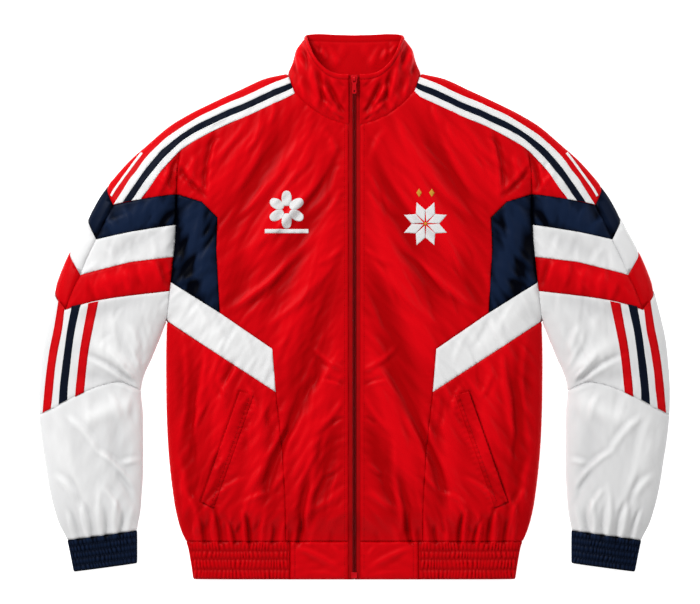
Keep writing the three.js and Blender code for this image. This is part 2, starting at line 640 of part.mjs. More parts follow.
/** Point and normal of the faceted sheet at a layout point. */
function onSheet(sheet, u, s) {
  const band = sheet.bands.find(({ high }) => s <= high + 1e-4) ?? sheet.bands[sheet.bands.length - 1];
  let best = null;
  for (const triangle of band.triangles) {
    const [a, b, c] = triangle.map((i) => sheet.nodes[i]);
    const area = (b.u - a.u) * (c.s - a.s) - (c.u - a.u) * (b.s - a.s);
    const wb = ((u - a.u) * (c.s - a.s) - (c.u - a.u) * (s - a.s)) / area;
    const wc = ((b.u - a.u) * (s - a.s) - (u - a.u) * (b.s - a.s)) / area;
    const wa = 1 - wb - wc;
    const inside = Math.min(wa, wb, wc);
    if (!best || inside > best.inside) best = { inside, nodes: [a, b, c], weights: [wa, wb, wc] };
    if (inside >= 0) break;
  }
  const mix = (key) =>
    best.nodes.reduce((sum, node, i) => sum.addScaledVector(node[key], best.weights[i]), new THREE.Vector3());
  return { point: mix('point'), normal: mix('normal') };
}

/** Piece of cloth cut from a sheet along a layout outline, lifted off it by a distance. */
function cutPiece(sheet, outline, { wall = WALL, lift = 0, gap = SEAM_GAP / 2 } = {}) {
  sheet.slab ??= slabOf(sheet);
  const mesh = sheet.slab.intersect(prism(inset(outline, gap), -2 * SLAB, 2 * SLAB)).getMesh();
  const outer = [];
  const inner = [];
  const ranks = [];
  const order = new Map();
  const take = (i) => {
    if (!order.has(i)) {
      const [u, s] = mesh.vertProperties.subarray(i * mesh.numProp, i * mesh.numProp + 2);
      const { point, normal } = onSheet(sheet, u, s);
      const top = lift > 0 ? lift + wall : 0;
      outer.push(...point.clone().addScaledVector(normal, top).toArray());
      inner.push(...point.addScaledVector(normal, top - wall).toArray());
      ranks.push(u + 2 * s);
      order.set(i, order.size);
    }
    return order.get(i);
  };
  const faces = [];
  for (let i = 0; i < mesh.triVerts.length; i += 3) {
    const corners = [...mesh.triVerts.subarray(i, i + 3)];
    if (corners.every((k) => mesh.vertProperties[k * mesh.numProp + 2] > 0)) faces.push(corners.map(take));
  }
  return wallOf(faces, outer, inner, ranks);
}

/** Closed wall between an outer and an inner copy of a surface's triangles, its edges split by rank. */
function wallOf(faces, outer, inner, ranks) {
  const count = outer.length / 3;
  const edges = new Set(faces.flatMap(([a, b, c]) => [`${a} ${b}`, `${b} ${c}`, `${c} ${a}`]));
  const triangles = faces.flatMap(([a, b, c]) => [a, b, c, count + a, count + c, count + b]);
  for (const edge of edges) {
    const [a, b] = edge.split(' ').map(Number);
    if (edges.has(`${b} ${a}`)) continue;
    if (ranks[a] < ranks[b]) triangles.push(a, count + a, b, b, count + a, count + b);
    else triangles.push(a, count + a, count + b, a, count + b, b);
  }
  return solidFrom([...outer, ...inner], triangles);
}

/** Strip of cloth from rows of outer points and matching inner points. */
function gridPiece(outer, inner) {
  const rows = outer.length;
  const columns = outer[0].length;
  const positions = [...outer.flat(), ...inner.flat()].flatMap((point) => point.toArray());
  const back = rows * columns;
  const at = (r, c) => r * columns + c;
  const triangles = [];
  const quad = (a, b, c, d) => triangles.push(a, b, c, a, c, d);
  for (let r = 0; r + 1 < rows; r += 1) {
    for (let c = 0; c + 1 < columns; c += 1) {
      quad(at(r, c), at(r, c + 1), at(r + 1, c + 1), at(r + 1, c));
      quad(back + at(r, c), back + at(r + 1, c), back + at(r + 1, c + 1), back + at(r, c + 1));
    }
    const end = columns - 1;
    quad(at(r, 0), at(r + 1, 0), back + at(r + 1, 0), back + at(r, 0));
    quad(at(r, end), back + at(r, end), back + at(r + 1, end), at(r + 1, end));
  }
  for (let c = 0; c + 1 < columns; c += 1) {
    quad(at(0, c), back + at(0, c), back + at(0, c + 1), at(0, c + 1));
    quad(at(rows - 1, c), at(rows - 1, c + 1), back + at(rows - 1, c + 1), back + at(rows - 1, c));
  }
  return facingOut(positions, triangles);
}

const flipped = (solid) => solid.mirror([1, 0, 0]);

// Lattices

/** Evenly spaced values from low to high, both included. */
function spaced(low, high, step) {
  const count = Math.max(1, Math.round((high - low) / step));
  return Array.from({ length: count + 1 }, (_, i) => lerp(low, high, i / count));
}

const FOLD_COLUMNS = [26, 12, 4, 0];
const TURN_COLUMNS = [FOLD_TURN * 0.5, FOLD_TURN];
const NEAR_FOLD = 0.8;

/** Columns of a body row: plain ones, closer ones at the fold and those on the turned edge. */
function bodyColumns(y, step) {
  const fold = bodyFoldAt(y);
  const open = y > UNDERARM_Y;
  const near = open ? [14, 5, 0] : FOLD_COLUMNS;
  const plain = spaced(0, fold - near[0] - step / 2, step);
  return [
    ...plain.map((u, i) => ({ u, place: (NEAR_FOLD * i) / plain.length })),
    ...near.map((d, i) => ({ u: fold - d, place: NEAR_FOLD + ((1 - NEAR_FOLD) * (i + 1)) / near.length })),
    ...(open ? [] : TURN_COLUMNS.map((d) => ({ u: fold + d, place: 1 + d }))),
  ];
}

function bodySheet() {
  const seamRows = SLEEVE_STATIONS.slice(0, UNDERARM_ROW + 1).map((row) => row.inY);
  const gatherRows = [HEM_BOTTOM, HEM_TOP, HEM_TOP + 12, HEM_TOP + 27, HEM_TOP + HEM_GATHER_REACH];
  const plainRows = spaced(HEM_TOP + HEM_GATHER_REACH, UNDERARM_Y, BODY_ROW).slice(1, -1);
  const heights = [...gatherRows, ...plainRows, ...seamRows.reverse()];
  const rows = heights.map((s) => ({
    s,
    columns: bodyColumns(s, s > HEM_BOTTOM && s < HEM_TOP + 30 ? HEM_GATHER / 2 : BODY_COLUMN),
  }));
  return makeSheet(rows, bodyBase, bodyFold);
}

const SLEEVE_SHARES = [0, 0.04, 0.11, 0.21, 0.34, 0.48, 0.62, 0.76, 0.88, 0.96, 1];
const SADDLE_SHARES = [0, 0.15, 0.5, 0.8, 1];
const BACK_SHARES = [1, 0.5];

function sleeveSheet() {
  const rows = LENGTHS.map((s, i) => {
    const { span, width } = section(s);
    let shares = i < SADDLE_ROW ? SADDLE_SHARES : SLEEVE_SHARES;
    if (i > GATHER_ROW) shares = spaced(0, 1, CUFF_GATHER / 2 / section(CUFF_S).span);
    const back = BACK_SHARES.map((share) => ({
      u: -(FOLD_TURN + (width - FOLD_REACH) * share),
      place: -FOLD_TURN - share,
    }));
    const turned = TURN_COLUMNS.map((d) => ({ u: -d, place: -d })).reverse();
    const front = shares.map((share) => ({ u: share * span, place: share }));
    const end = TURN_COLUMNS.map((d) => ({ u: span + d, place: 1 + d }));
    return { s, columns: [...back, ...turned, ...front, ...(i > UNDERARM_ROW ? end : [])] };
  });
  return makeSheet(rows, sleeveBase, sleeveFold);
}

// Pieces of the body

/** Points of the armhole and shoulder seam between two heights, from the upper one down. */
function seamBetween(high, low) {
  const between = IN.filter(([, y]) => y < high - 1 && y > low + 1).sort((a, b) => b[1] - a[1]);
  return [[bodyEdge(high), high], ...between, [bodyEdge(low), low]];
}

function bodyPieces(sheet) {
  const onBody = (points) => points.map(bodyPoint);
  const [bandInner, bandLow] = BAND_CORNERS;
  const bandUp = INSERT_CORNERS[INSERT_CORNERS.length - 1];
  const neckTop = NECK_SEAM[0][1];
  const turned = sheet.rows
    .map((row) => row.s)
    .filter((y) => y < UNDERARM_Y - 4 && y > HEM_TOP)
    .sort((a, b) => b - a);
  const sideEdge = [UNDERARM_Y - 1.6, ...turned, HEM_TOP].map((y) => [bodyFoldAt(y) + FOLD_TURN, y]);
  const frontMain = [
    ...seamBetween(neckTop, INSERT_TOP_Y),
    ...INSERT_CORNERS,
    ...BAND_CORNERS,
    ...CENTRE_SEAM,
    [ZIP_HALF, HEM_TOP],
    ...[...NECK_SEAM].reverse().slice(0, -1),
  ];
  const insert = [...seamBetween(INSERT_TOP_Y, BAND_TOP_Y), ...[...INSERT_CORNERS].reverse()];
  const band = [...seamBetween(BAND_TOP_Y, UNDERARM_Y), bandLow, bandInner, bandUp];
  const welted = { wall: WELT_WALL, lift: LAY_GAP, gap: 0 };
  const notch = [bodyEdge(UNDERARM_Y), UNDERARM_Y];
  const side = [
    ...onBody([...CENTRE_SEAM].reverse()),
    ...onBody([bandLow, [notch[0] - 2, notch[1] - 1.6]]),
    ...sideEdge,
  ];
  const hemTab = [[ZIP_HALF, HEM_TOP], [TAB_HALF, HEM_TOP], [TAB_HALF, HEM_BOTTOM], [ZIP_HALF, HEM_BOTTOM]];
  return {
    front_main: { colour: 'red', solid: cutPiece(sheet, onBody(frontMain)) },
    chest_insert: { colour: 'navy', solid: cutPiece(sheet, onBody(insert)) },
    chest_band: { colour: 'white', solid: cutPiece(sheet, onBody(band)) },
    side_front: { colour: 'red', solid: cutPiece(sheet, side) },
    pocket_welt: { colour: 'red', solid: cutPiece(sheet, onBody(WELT), welted) },
    hem_tab: { colour: 'red', solid: cutPiece(sheet, onBody(hemTab), { wall: BAND_WALL }) },
  };
}

/** Flat back panel, whole. */
function backPanel(sheet) {
  const sideX = (y) => bodyEdge(y) - FOLD_REACH - SEAM_GAP;
  const sideRows = sheet.rows.map((row) => row.s).filter((y) => y < UNDERARM_Y - 1 && y > HEM_TOP + 1);
  const neck = COLLAR_RINGS.filter((ring) => ring.turn === 3).reverse();
  const half = [
    ...neck.map((ring) => [ring.seamX, ring.seamY - SEAM_GAP]),
    ...IN.slice(0, UNDERARM_ROW + 1).map(([x, y]) => [x - SEAM_GAP, y - SEAM_GAP]),
    [sideX(UNDERARM_Y), UNDERARM_Y - 1],
    ...sideRows.sort((a, b) => b - a).map((y) => [sideX(y), y]),
    [sideX(HEM_TOP), HEM_TOP + SEAM_GAP / 2],
  ];
  const other = half.slice(1).map(([x, y]) => [-x, y]).reverse();
  return prism([...other, ...half].reverse(), 0, WALL);
}

/** Gathered hem strip round the sides and back, between the two front tabs. */
function hemElastic() {
  const side = bodyFoldAt(HEM_TOP) - FOLD_COLUMNS[2];
  const shirred = spaced(TAB_HALF + SEAM_GAP, side, HEM_PLEAT / 2).length - 1;
  const levels = [HEM_TOP - SEAM_GAP / 2, -351, -369, HEM_BOTTOM];
  const depths = [0.7, 1, 1, 0.8];
  const outer = [];
  const inner = [];
  levels.forEach((y, level) => {
    const fold = bodyFoldAt(y);
    const from = TAB_HALF + SEAM_GAP;
    const reach = fold - FOLD_COLUMNS[2] - from;
    const points = [];
    for (let i = 0; i <= shirred; i += 1) {
      const u = from + (reach * i) / shirred;
      const free = smooth(clamp((fold - u - 6) / 20, 0, 1));
      const pleat = (i % 2 ? 1 : -1) * 0.5 * HEM_PLEAT_DEPTH * depths[level] * free;
      points.push({ place: bodyBase(u, y), normal: normalAt(bodyBase, u, y), pleat });
    }
    for (const d of [...FOLD_COLUMNS.slice(3).map((v) => -v), ...TURN_COLUMNS]) {
      points.push({ place: bodyBase(fold + d, y), normal: normalAt(bodyBase, fold + d, y), pleat: 0 });
    }
    points[points.length - 1].normal = new THREE.Vector3(0, 0, -1);
    points.push({ place: [0, y, 0], normal: new THREE.Vector3(0, 0, -1), pleat: 0 });
    const place = (point, depth) =>
      new THREE.Vector3(...point.place).addScaledVector(point.normal, point.pleat - depth);
    const half = (depth) => points.map((point) => place(point, depth));
    const whole = (list) => [
      ...list.map(({ x, y: py, z }) => new THREE.Vector3(-x, py, z)),
      ...[...list].reverse().slice(1),
    ];
    outer.push(whole(half(0)).reverse());
    inner.push(whole(half(BAND_WALL)).reverse());
  });
  return gridPiece(outer, inner);
}

// Pieces of the sleeve

/** Edge of a colour band over the whole sleeve, from the armhole at the front to the one behind. */
function chevronEdge({ tip, bend, end }) {
  const [tipPoint, bendPoint, endPoint] = [tip, bend, end].map(sleevePoint);
  const slope = (endPoint[1] - tipPoint[1]) / (endPoint[0] - tipPoint[0]);
  const behind = (u) => [u, tipPoint[1] + slope * (tipPoint[0] - u)];
  let near = -FOLD_TURN;
  let far = -3 * section(endPoint[1]).width;
  for (let n = 0; n < 40; n += 1) {
    const middle = (near + far) / 2;
    if (middle > backEnd(behind(middle)[1])[0]) near = middle;
    else far = middle;
  }
  return {
    front: [[section(endPoint[1]).span, endPoint[1]], bendPoint, tipPoint],
    tip: tipPoint,
    back: [behind(0), behind(-FOLD_TURN), behind(near)],
    behind,
  };
}

/** Rows of the sleeve between two places along it, at the inner end or behind. */
const rowsBetween = (from, to) => LENGTHS.filter((s) => s > from + 0.5 && s < to - 0.5);
const innerEnd = (s) => [section(s).span + (s > LENGTHS[UNDERARM_ROW] + 0.4 ? FOLD_TURN : 0), s];
const backEnd = (s) => {
  const { width } = section(s);
  const short = s > LENGTHS[UNDERARM_ROW] + 0.4 ? FOLD_REACH : 0;
  return [-(FOLD_TURN + width - FOLD_REACH - short), s];
};

/** Inner edge of a front piece, with the step where the fold starts under the arm. */
function innerRun(from, to) {
  const underarm = LENGTHS[UNDERARM_ROW];
  const rows = [from, ...rowsBetween(from, to), to];
  if (from >= underarm || to <= underarm) return rows.map(innerEnd);
  const above = rows.filter((s) => s < underarm - 0.5).map(innerEnd);
  const below = rows.filter((s) => s > underarm + 0.5).map(innerEnd);
  const start = underarm + 0.8;
  return [...above, [section(start).span, start - 0.4], [section(start).span + FOLD_TURN, start], ...below];
}

function backRun(from, to) {
  const underarm = LENGTHS[UNDERARM_ROW];
  const rows = [from, ...rowsBetween(from, to), to];
  if (from >= underarm || to <= underarm) return rows.map(backEnd);
  const above = rows.filter((s) => s < underarm + 0.5).map(backEnd);
  const below = rows.filter((s) => s > underarm + 0.5).map(backEnd);
  return [...above, backEnd(underarm + 0.8), ...below];
}

/** Place on the sleeve where the tapes' lower edge leaves the armhole, and on down to the bands. */
const tapeEdge = [
  ...TAPE_ROWS.filter((row) => row.y < 215).map((row) => [row.lowerIn, row.y]),
  [298.6, 153.6],
];

function stripOutline(rows, name, ends) {
  const { topOut, topIn, endOut, endIn } = ends[name];
  const outer = rows.map((row) => [row[`${name}Out`], row.y]);
  const inner = rows.map((row) => [row[`${name}In`], row.y]);
  return [topOut, ...outer, endOut, endIn, ...inner.reverse(), topIn].map(sleevePoint);
}

function sleevePieces(sheet) {
  const [capEdge, navyEdge, whiteEdge, redEdge] = CHEVRONS.map(chevronEdge);
  const cut = (outline, options) => cutPiece(sheet, outline, options);
  const capEnd = capEdge.front[0][1];
  const capBack = capEdge.back;
  const backSplit = capEdge.behind(-FOLD_TURN - SADDLE_BACK);
  const saddleRows = LENGTHS.slice(0, SADDLE_ROW + 1);
  const splitTop = backEnd(LENGTHS[SADDLE_ROW]);
  const saddle = [
    ...saddleRows.map(backEnd).reverse(),
    ...saddleRows.map(innerEnd),
    ...tapeEdge.map(sleevePoint),
    capEdge.front[1],
    capEdge.tip,
    ...capBack.slice(0, 2),
    backSplit,
  ];
  const cap = [
    ...innerRun(LENGTHS[SADDLE_ROW], capEnd),
    ...tapeEdge.map(sleevePoint).reverse(),
  ];
  const upperBack = [splitTop, backSplit, ...backRun(LENGTHS[SADDLE_ROW], capBack[2][1]).slice(1).reverse()];
  const bandFront = (upper, lower) => [
    ...[...upper.front].reverse().slice(0, -1),
    ...innerRun(upper.front[0][1], lower.front[0][1]),
    ...lower.front.slice(1),
  ];
  const bandBack = (upper, lower) => [
    upper.tip,
    lower.tip,
    ...lower.back.slice(0, -1),
    ...backRun(upper.back[2][1], lower.back[2][1]).reverse(),
    ...[...upper.back.slice(0, -1)].reverse(),
  ];
  const elbow = ELBOW.map(sleevePoint);
  const elbowOut = elbow[0][1];
  const elbowIn = elbow[elbow.length - 1][1];
  const elbowFront = [...elbow.slice(1, -1)];
  const forearmFront = [
    ...[...redEdge.front].reverse().slice(0, -1),
    ...innerRun(redEdge.front[0][1], elbowIn),
    ...[...elbowFront].reverse(),
    [0, elbowOut],
    [-FOLD_TURN, elbowOut],
    ...rowsBetween(redEdge.back[1][1], elbowOut).reverse().map((s) => [-FOLD_TURN, s]),
    redEdge.back[1],
    redEdge.back[0],
  ];
  const forearmBack = [
    redEdge.back[1],
    ...rowsBetween(redEdge.back[1][1], elbowOut).map((s) => [-FOLD_TURN, s]),
    [-FOLD_TURN, elbowOut],
    ...backRun(redEdge.back[2][1], elbowIn).reverse(),
  ];
  const lowerFront = [
    [-FOLD_TURN, elbowOut],
    [0, elbowOut],
    ...elbowFront,
    ...innerRun(elbowIn, CUFF_S),
    [-FOLD_TURN, CUFF_S],
    ...rowsBetween(elbowOut, CUFF_S).reverse().map((s) => [-FOLD_TURN, s]),
  ];
  const lowerBack = [
    [-FOLD_TURN, elbowOut],
    ...rowsBetween(elbowOut, CUFF_S).map((s) => [-FOLD_TURN, s]),
    [-FOLD_TURN, CUFF_S],
    ...backRun(elbowIn, CUFF_S).reverse(),
  ];
  const strip = (rows, ends, name, colour) => ({
    colour,
    solid: cut(stripOutline(rows, name, ends), { wall: TAPE_WALL, lift: LAY_GAP, gap: 0 }),
  });
  return {
    saddle: { colour: 'red', solid: cut(saddle) },
    sleeve_cap: { colour: 'red', solid: cut(cap) },
    sleeve_back_upper: { colour: 'red', solid: cut(upperBack) },
    navy_front: { colour: 'navy', solid: cut(bandFront(capEdge, navyEdge)) },
    navy_back: { colour: 'navy', solid: cut(bandBack(capEdge, navyEdge)) },
    white_front: { colour: 'white', solid: cut(bandFront(navyEdge, whiteEdge)) },
    white_back: { colour: 'white', solid: cut(bandBack(navyEdge, whiteEdge)) },
    red_front: { colour: 'red', solid: cut(bandFront(whiteEdge, redEdge)) },
    red_back: { colour: 'red', solid: cut(bandBack(whiteEdge, redEdge)) },
    forearm_front: { colour: 'white', solid: cut(forearmFront) },
    forearm_back: { colour: 'white', solid: cut(forearmBack) },
    lower_sleeve_front: { colour: 'white', solid: cut(lowerFront) },
    lower_sleeve_back: { colour: 'white', solid: cut(lowerBack) },
    tape_upper: strip(TAPE_ROWS, TAPE_ENDS, 'upper', 'white'),
    tape_middle: strip(TAPE_ROWS, TAPE_ENDS, 'middle', 'navy'),
    tape_lower: strip(TAPE_ROWS, TAPE_ENDS, 'lower', 'white'),
    stripe_outer: strip(STRIPE_ROWS, STRIPE_ENDS, 'outer', 'red'),
    stripe_middle: strip(STRIPE_ROWS, STRIPE_ENDS, 'middle', 'navy'),
    stripe_inner: strip(STRIPE_ROWS, STRIPE_ENDS, 'inner', 'red'),
    cuff: { colour: 'navy', solid: cuff() },
  };
}

/** Gathered cuff all round the sleeve's end, open along the seam under its inner fold. */
function cuff() {
  const levels = LENGTHS.slice(CUFF_ROW);
  levels[0] += SEAM_GAP;
  const count = 2 * Math.round(section(CUFF_S).span / CUFF_PLEAT);
  const outer = [];
  const inner = [];
  for (const s of levels) {
    const { span, width } = section(s);
    const behind = -(FOLD_TURN + width - 2 * FOLD_REACH - SEAM_GAP);
    const points = [behind, -FOLD_TURN, -FOLD_TURN / 2].map((u) => ({ u, pleat: 0 }));
    for (let i = 0; i <= count; i += 1) {
      const u = (span * i) / count;
      const free = smooth(clamp(Math.min(u, span - u) / 20, 0, 1));
      points.push({ u, pleat: (i % 2 ? 1 : -1) * 0.5 * CUFF_PLEAT_DEPTH * free });
    }
    for (const d of TURN_COLUMNS) points.push({ u: span + d, pleat: 0 });
    const place = ({ u, pleat }, depth) => {
      const flat = u <= -FOLD_TURN || u >= span + FOLD_TURN;
      const normal = flat ? new THREE.Vector3(0, 0, -1) : normalAt(sleeveBase, u, s);
      return new THREE.Vector3(...sleeveBase(u, s)).addScaledVector(normal, pleat - depth);
    };
    outer.push(points.map((point) => place(point, 0)));
    inner.push(points.map((point) => place(point, BAND_WALL)));
  }
  return gridPiece(outer, inner);
}

// Collar, zip and slider

/** Upper height of the collar's front at a ring and a row. */
function collarPoint(ring, v) {
  const x = lerp(ring.seamX, ring.rimX, v);
  const y = lerp(ring.seamY, ring.rimY, v);
  const seamZ = height(ring.seamX, ring.seamY, BODY_PUFF);
  if (ring.turn === 3) return new THREE.Vector3(x, y, 0);
  const side = lerp(FOLD_Z, COLLAR_SIDE_Z, v);
  if (ring.turn === 2) return new THREE.Vector3(x, y, side * 0.3);
  const fromSide = clamp(Math.hypot(ring.rimX - 69.2, ring.rimY - 385) / COLLAR_RISE, 0, 1);
  const rimZ = lerp(COLLAR_SIDE_Z, COLLAR_RIM_Z, Math.sqrt(fromSide * (2 - fromSide)));
  return new THREE.Vector3(x, y, lerp(ring.turn === 1 ? FOLD_Z : seamZ, rimZ, v));
}

const COLLAR_CENTRE = { ...COLLAR_RINGS[0], seamX: 0, rimX: 0 };

function collar() {
  const outer = [];
  const inner = [];
  for (const v of COLLAR_ROWS) {
    const row = COLLAR_RINGS.map((ring) => collarPoint(ring, v));
    const above = COLLAR_RINGS.map((ring) => collarPoint(ring, v + 0.01));
    const half = row.map((point, i) => {
      const before = row[Math.max(0, i - 1)];
      const after = row[Math.min(row.length - 1, i + 1)];
      const ring = COLLAR_RINGS[i];
      const up = above[i].clone().sub(point);
      const normal = after.clone().sub(before).cross(up).normalize();
      if (ring.turn === 3) normal.set(0, 0, -1);
      const folded = ring.turn === 0 && i > 0;
      const shape = folded ? foldHeight(COLLAR_FOLDS, point.x, point.y) * 4 * v * (1 - v) : 0;
      const moved = point.clone().addScaledVector(normal, shape);
      if (v === 0) moved.y += ring.turn === 3 ? 0 : SEAM_GAP * 1.4;
      return { moved, normal };
    });
    half[0].moved.x += SEAM_GAP;
    const inwards = half.map(({ moved, normal }) => moved.clone().addScaledVector(normal, -COLLAR_WALL));
    inwards[0].x = half[0].moved.x;
    inwards[inwards.length - 1].x = 0;
    const whole = (list) => [
      ...list,
      ...[...list].reverse().slice(1).map(({ x, y, z }) => new THREE.Vector3(-x, y, z)),
    ];
    outer.push(whole(half.map(({ moved }) => moved)));
    inner.push(whole(inwards));
  }
  return gridPiece(outer, inner);
}

/** Line of the zip from the hem to the collar rim, with the direction out of the cloth. */
function zipLine() {
  const heights = spaced(HEM_BOTTOM, COLLAR_CENTRE.seamY - 6, ZIP_STEP);
  const body = heights.map((y) => new THREE.Vector3(0, y, bodyBase(0, y)[2]));
  const stand = [0.1, 0.4, 0.7, 1].map((v) => collarPoint(COLLAR_CENTRE, v));
  const points = [...body, ...stand];
  return points.map((point, i) => {
    const along = points[Math.min(points.length - 1, i + 1)].clone().sub(points[Math.max(0, i - 1)]);
    return { point, normal: new THREE.Vector3(0, -along.z, along.y).normalize() };
  });
}

/** One side of the zip: its tape with half of the coil. */
function zipSide() {
  const half = SEAM_GAP / 2;
  const profile = [
    [half, -ZIP_TAPE_DROP - WALL],
    [ZIP_HALF - half, -ZIP_TAPE_DROP - WALL],
    [ZIP_HALF - half, -ZIP_TAPE_DROP],
    [COIL_HALF, -ZIP_TAPE_DROP],
    [COIL_HALF * 0.8, COIL_RISE - ZIP_TAPE_DROP],
    [half, COIL_RISE - ZIP_TAPE_DROP],
  ];
  const line = zipLine();
  const positions = line.flatMap(({ point, normal }) =>
    profile.flatMap(([x, out]) => {
      const { y, z } = point.clone().addScaledVector(normal, out);
      return [x, y, z];
    }),
  );
  const count = profile.length;
  const triangles = [];
  for (let r = 0; r + 1 < line.length; r += 1) {
    for (let i = 0; i < count; i += 1) {
      const j = (i + 1) % count;
      const [a, b] = [r * count + i, r * count + j];
      triangles.push(a, b + count, b, a, a + count, b + count);
    }
  }
  const faces = THREE.ShapeUtils.triangulateShape(profile.map(([x, y]) => new THREE.Vector2(x, y)), []);
  const top = (line.length - 1) * count;
  for (const [a, b, c] of faces) triangles.push(a, b, c, top + a, top + c, top + b);
  return facingOut(positions, triangles);
}

/** Frame of the slider on the collar's zip: x across, y up the zip, z out of the cloth. */
function sliderFrame() {
  const low = collarPoint(COLLAR_CENTRE, 0);
  const high = collarPoint(COLLAR_CENTRE, 1);
  const up = high.clone().sub(low).normalize();
  const out = new THREE.Vector3(0, -up.z, up.y);
  const share = (SLIDER_Y - low.y) / (high.y - low.y);
  const frame = new THREE.Matrix4().makeBasis(new THREE.Vector3(1, 0, 0), up, out);
  return frame.setPosition(low.lerp(high, share));
}

function solidOf(geometry, matrix) {
  geometry.applyMatrix4(matrix);
  const positions = geometry.attributes.position;
  const index = geometry.index ? [...geometry.index.array] : [...Array(positions.count).keys()];
  return facingOut(positions.array, index);
}

const plateOf = (outline, depth, holes = []) => {
  const shape = new THREE.Shape(outline.map(([x, y]) => new THREE.Vector2(x, y)));
  for (const { x, y, r } of holes) shape.holes.push(new THREE.Path().absarc(x, y, r, 0, Math.PI * 2, true));
  return new THREE.ExtrudeGeometry(shape, { depth, bevelEnabled: false, curveSegments: 10 });
};

/** A matrix shifted inside a frame. */
const shifted = (frame, x, y, z) =>
  new THREE.Matrix4().multiplyMatrices(frame, new THREE.Matrix4().makeTranslation(x, y, z));

function sliderBody(frame) {
  const half = SLIDER_LENGTH / 2;
  const outline = [
    [-SLIDER_HALF, half - 2], [-SLIDER_HALF + 1, half], [SLIDER_HALF - 1, half], [SLIDER_HALF, half - 2],
    [SLIDER_HALF * 0.8, -half + 1], [SLIDER_HALF * 0.6, -half],
    [-SLIDER_HALF * 0.6, -half], [-SLIDER_HALF * 0.8, -half + 1],
  ];
  const plate = solidOf(plateOf(outline.reverse(), SLIDER_PLATE), shifted(frame, 0, 0, SLIDER_LIFT));
  const top = SLIDER_LIFT + SLIDER_PLATE;
  const arch = [
    [-BRIDGE_LENGTH / 2, top - 0.4], [BRIDGE_LENGTH / 2, top - 0.4],
    [BRIDGE_LENGTH / 2 - 0.8, top + BRIDGE_HEIGHT - 0.8], [BRIDGE_LENGTH / 2 - 1.8, top + BRIDGE_HEIGHT],
    [-BRIDGE_LENGTH / 2 + 1.8, top + BRIDGE_HEIGHT], [-BRIDGE_LENGTH / 2 + 0.8, top + BRIDGE_HEIGHT - 0.8],
  ];
  const side = new THREE.Matrix4().makeBasis(
    new THREE.Vector3(0, 1, 0),
    new THREE.Vector3(0, 0, 1),
    new THREE.Vector3(1, 0, 0),
  );
  side.setPosition(-BRIDGE_HALF, 0, 0);
  const placed = new THREE.Matrix4().multiplyMatrices(frame, side);
  const bridge = solidOf(plateOf(arch, 2 * BRIDGE_HALF), placed);
  const tunnel = new THREE.BoxGeometry(4 * BRIDGE_HALF, TUNNEL_LENGTH, TUNNEL_HEIGHT);
  const cut = solidOf(tunnel, shifted(frame, 0, 0, PIVOT_Z));
  return plate.add(bridge).subtract(cut);
}

function pullTab(frame) {
  const end = -PULL_LENGTH;
  const outline = [
    [-CHEEK_HALF, 0.9], [CHEEK_HALF, 0.9], [CHEEK_HALF, -5], [CHEEK_HALF * 0.8, -7.5], [CHEEK_HALF, end + 3],
    [CHEEK_HALF * 0.7, end + 0.6], [0, end], [-CHEEK_HALF * 0.7, end + 0.6], [-CHEEK_HALF, end + 3],
    [-CHEEK_HALF * 0.8, -7.5], [-CHEEK_HALF, -5],
  ];
  const plate = solidOf(
    plateOf(outline.reverse(), PULL_WALL, [{ x: 0, y: end + 4, r: PULL_HOLE_R }]),
    shifted(frame, 0, 0, PIVOT_Z - PULL_WALL / 2),
  );
  const window = new THREE.BoxGeometry(2 * (BRIDGE_HALF + 0.4), 6, 3 * PULL_WALL);
  const opening = solidOf(window, shifted(frame, 0, -1.6, PIVOT_Z));
  const bar = new THREE.CylinderGeometry(PIVOT_R, PIVOT_R, 2 * CHEEK_HALF - 1, 14).rotateZ(Math.PI / 2);
  const pivot = solidOf(bar, shifted(frame, 0, 0, PIVOT_Z));
  return plate.subtract(opening).add(pivot);
}

// Assembly

// Largest shift of the surface when its flat places lose their spare triangles.
const SIMPLIFY = 0.1;

function addNode(group, name, colour, solid) {
  const simple = solid.simplify(SIMPLIFY);
  const mesh = simple.getMesh();
  const geometry = new THREE.BufferGeometry();
  const positions = Float32Array.from(mesh.vertProperties);
  geometry.setAttribute('position', new THREE.BufferAttribute(positions, 3));
  geometry.setIndex(Array.from(mesh.triVerts));
  geometry.computeVertexNormals();
  const { colour: value, roughness, metalness = 0 } = COLOURS[colour];
  const material = new THREE.MeshStandardMaterial({ color: value, roughness, metalness });
  const node = new THREE.Mesh(geometry, material);
  node.name = name;
  group.add(node);
}

function buildJacket() {
  const group = new THREE.Group();
  group.name = 'track_jacket';
  const body = bodySheet();
  const sided = { ...bodyPieces(body), ...sleevePieces(sleeveSheet()) };
  for (const [name, { colour, solid }] of Object.entries(sided)) {
    addNode(group, `${name}_left`, colour, solid);
    addNode(group, `${name}_right`, colour, flipped(solid));
  }
  addNode(group, 'back', 'red', backPanel(body));
  addNode(group, 'hem_elastic', 'red', hemElastic());
  addNode(group, 'collar', 'red', collar());
  const zip = zipSide();
  addNode(group, 'zip_left', 'tape', zip);
  addNode(group, 'zip_right', 'tape', flipped(zip));
  const frame = sliderFrame();
  addNode(group, 'zip_slider', 'metal', sliderBody(frame));
  addNode(group, 'zip_pull', 'metal', pullTab(frame));
  return group;
}

export default buildJacket();
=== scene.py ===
import logging
import math
from dataclasses import dataclass
from enum import Enum
from typing import Callable, Iterable, Sequence

import bmesh
import bpy
import numpy as np
from mathutils import Matrix, Vector


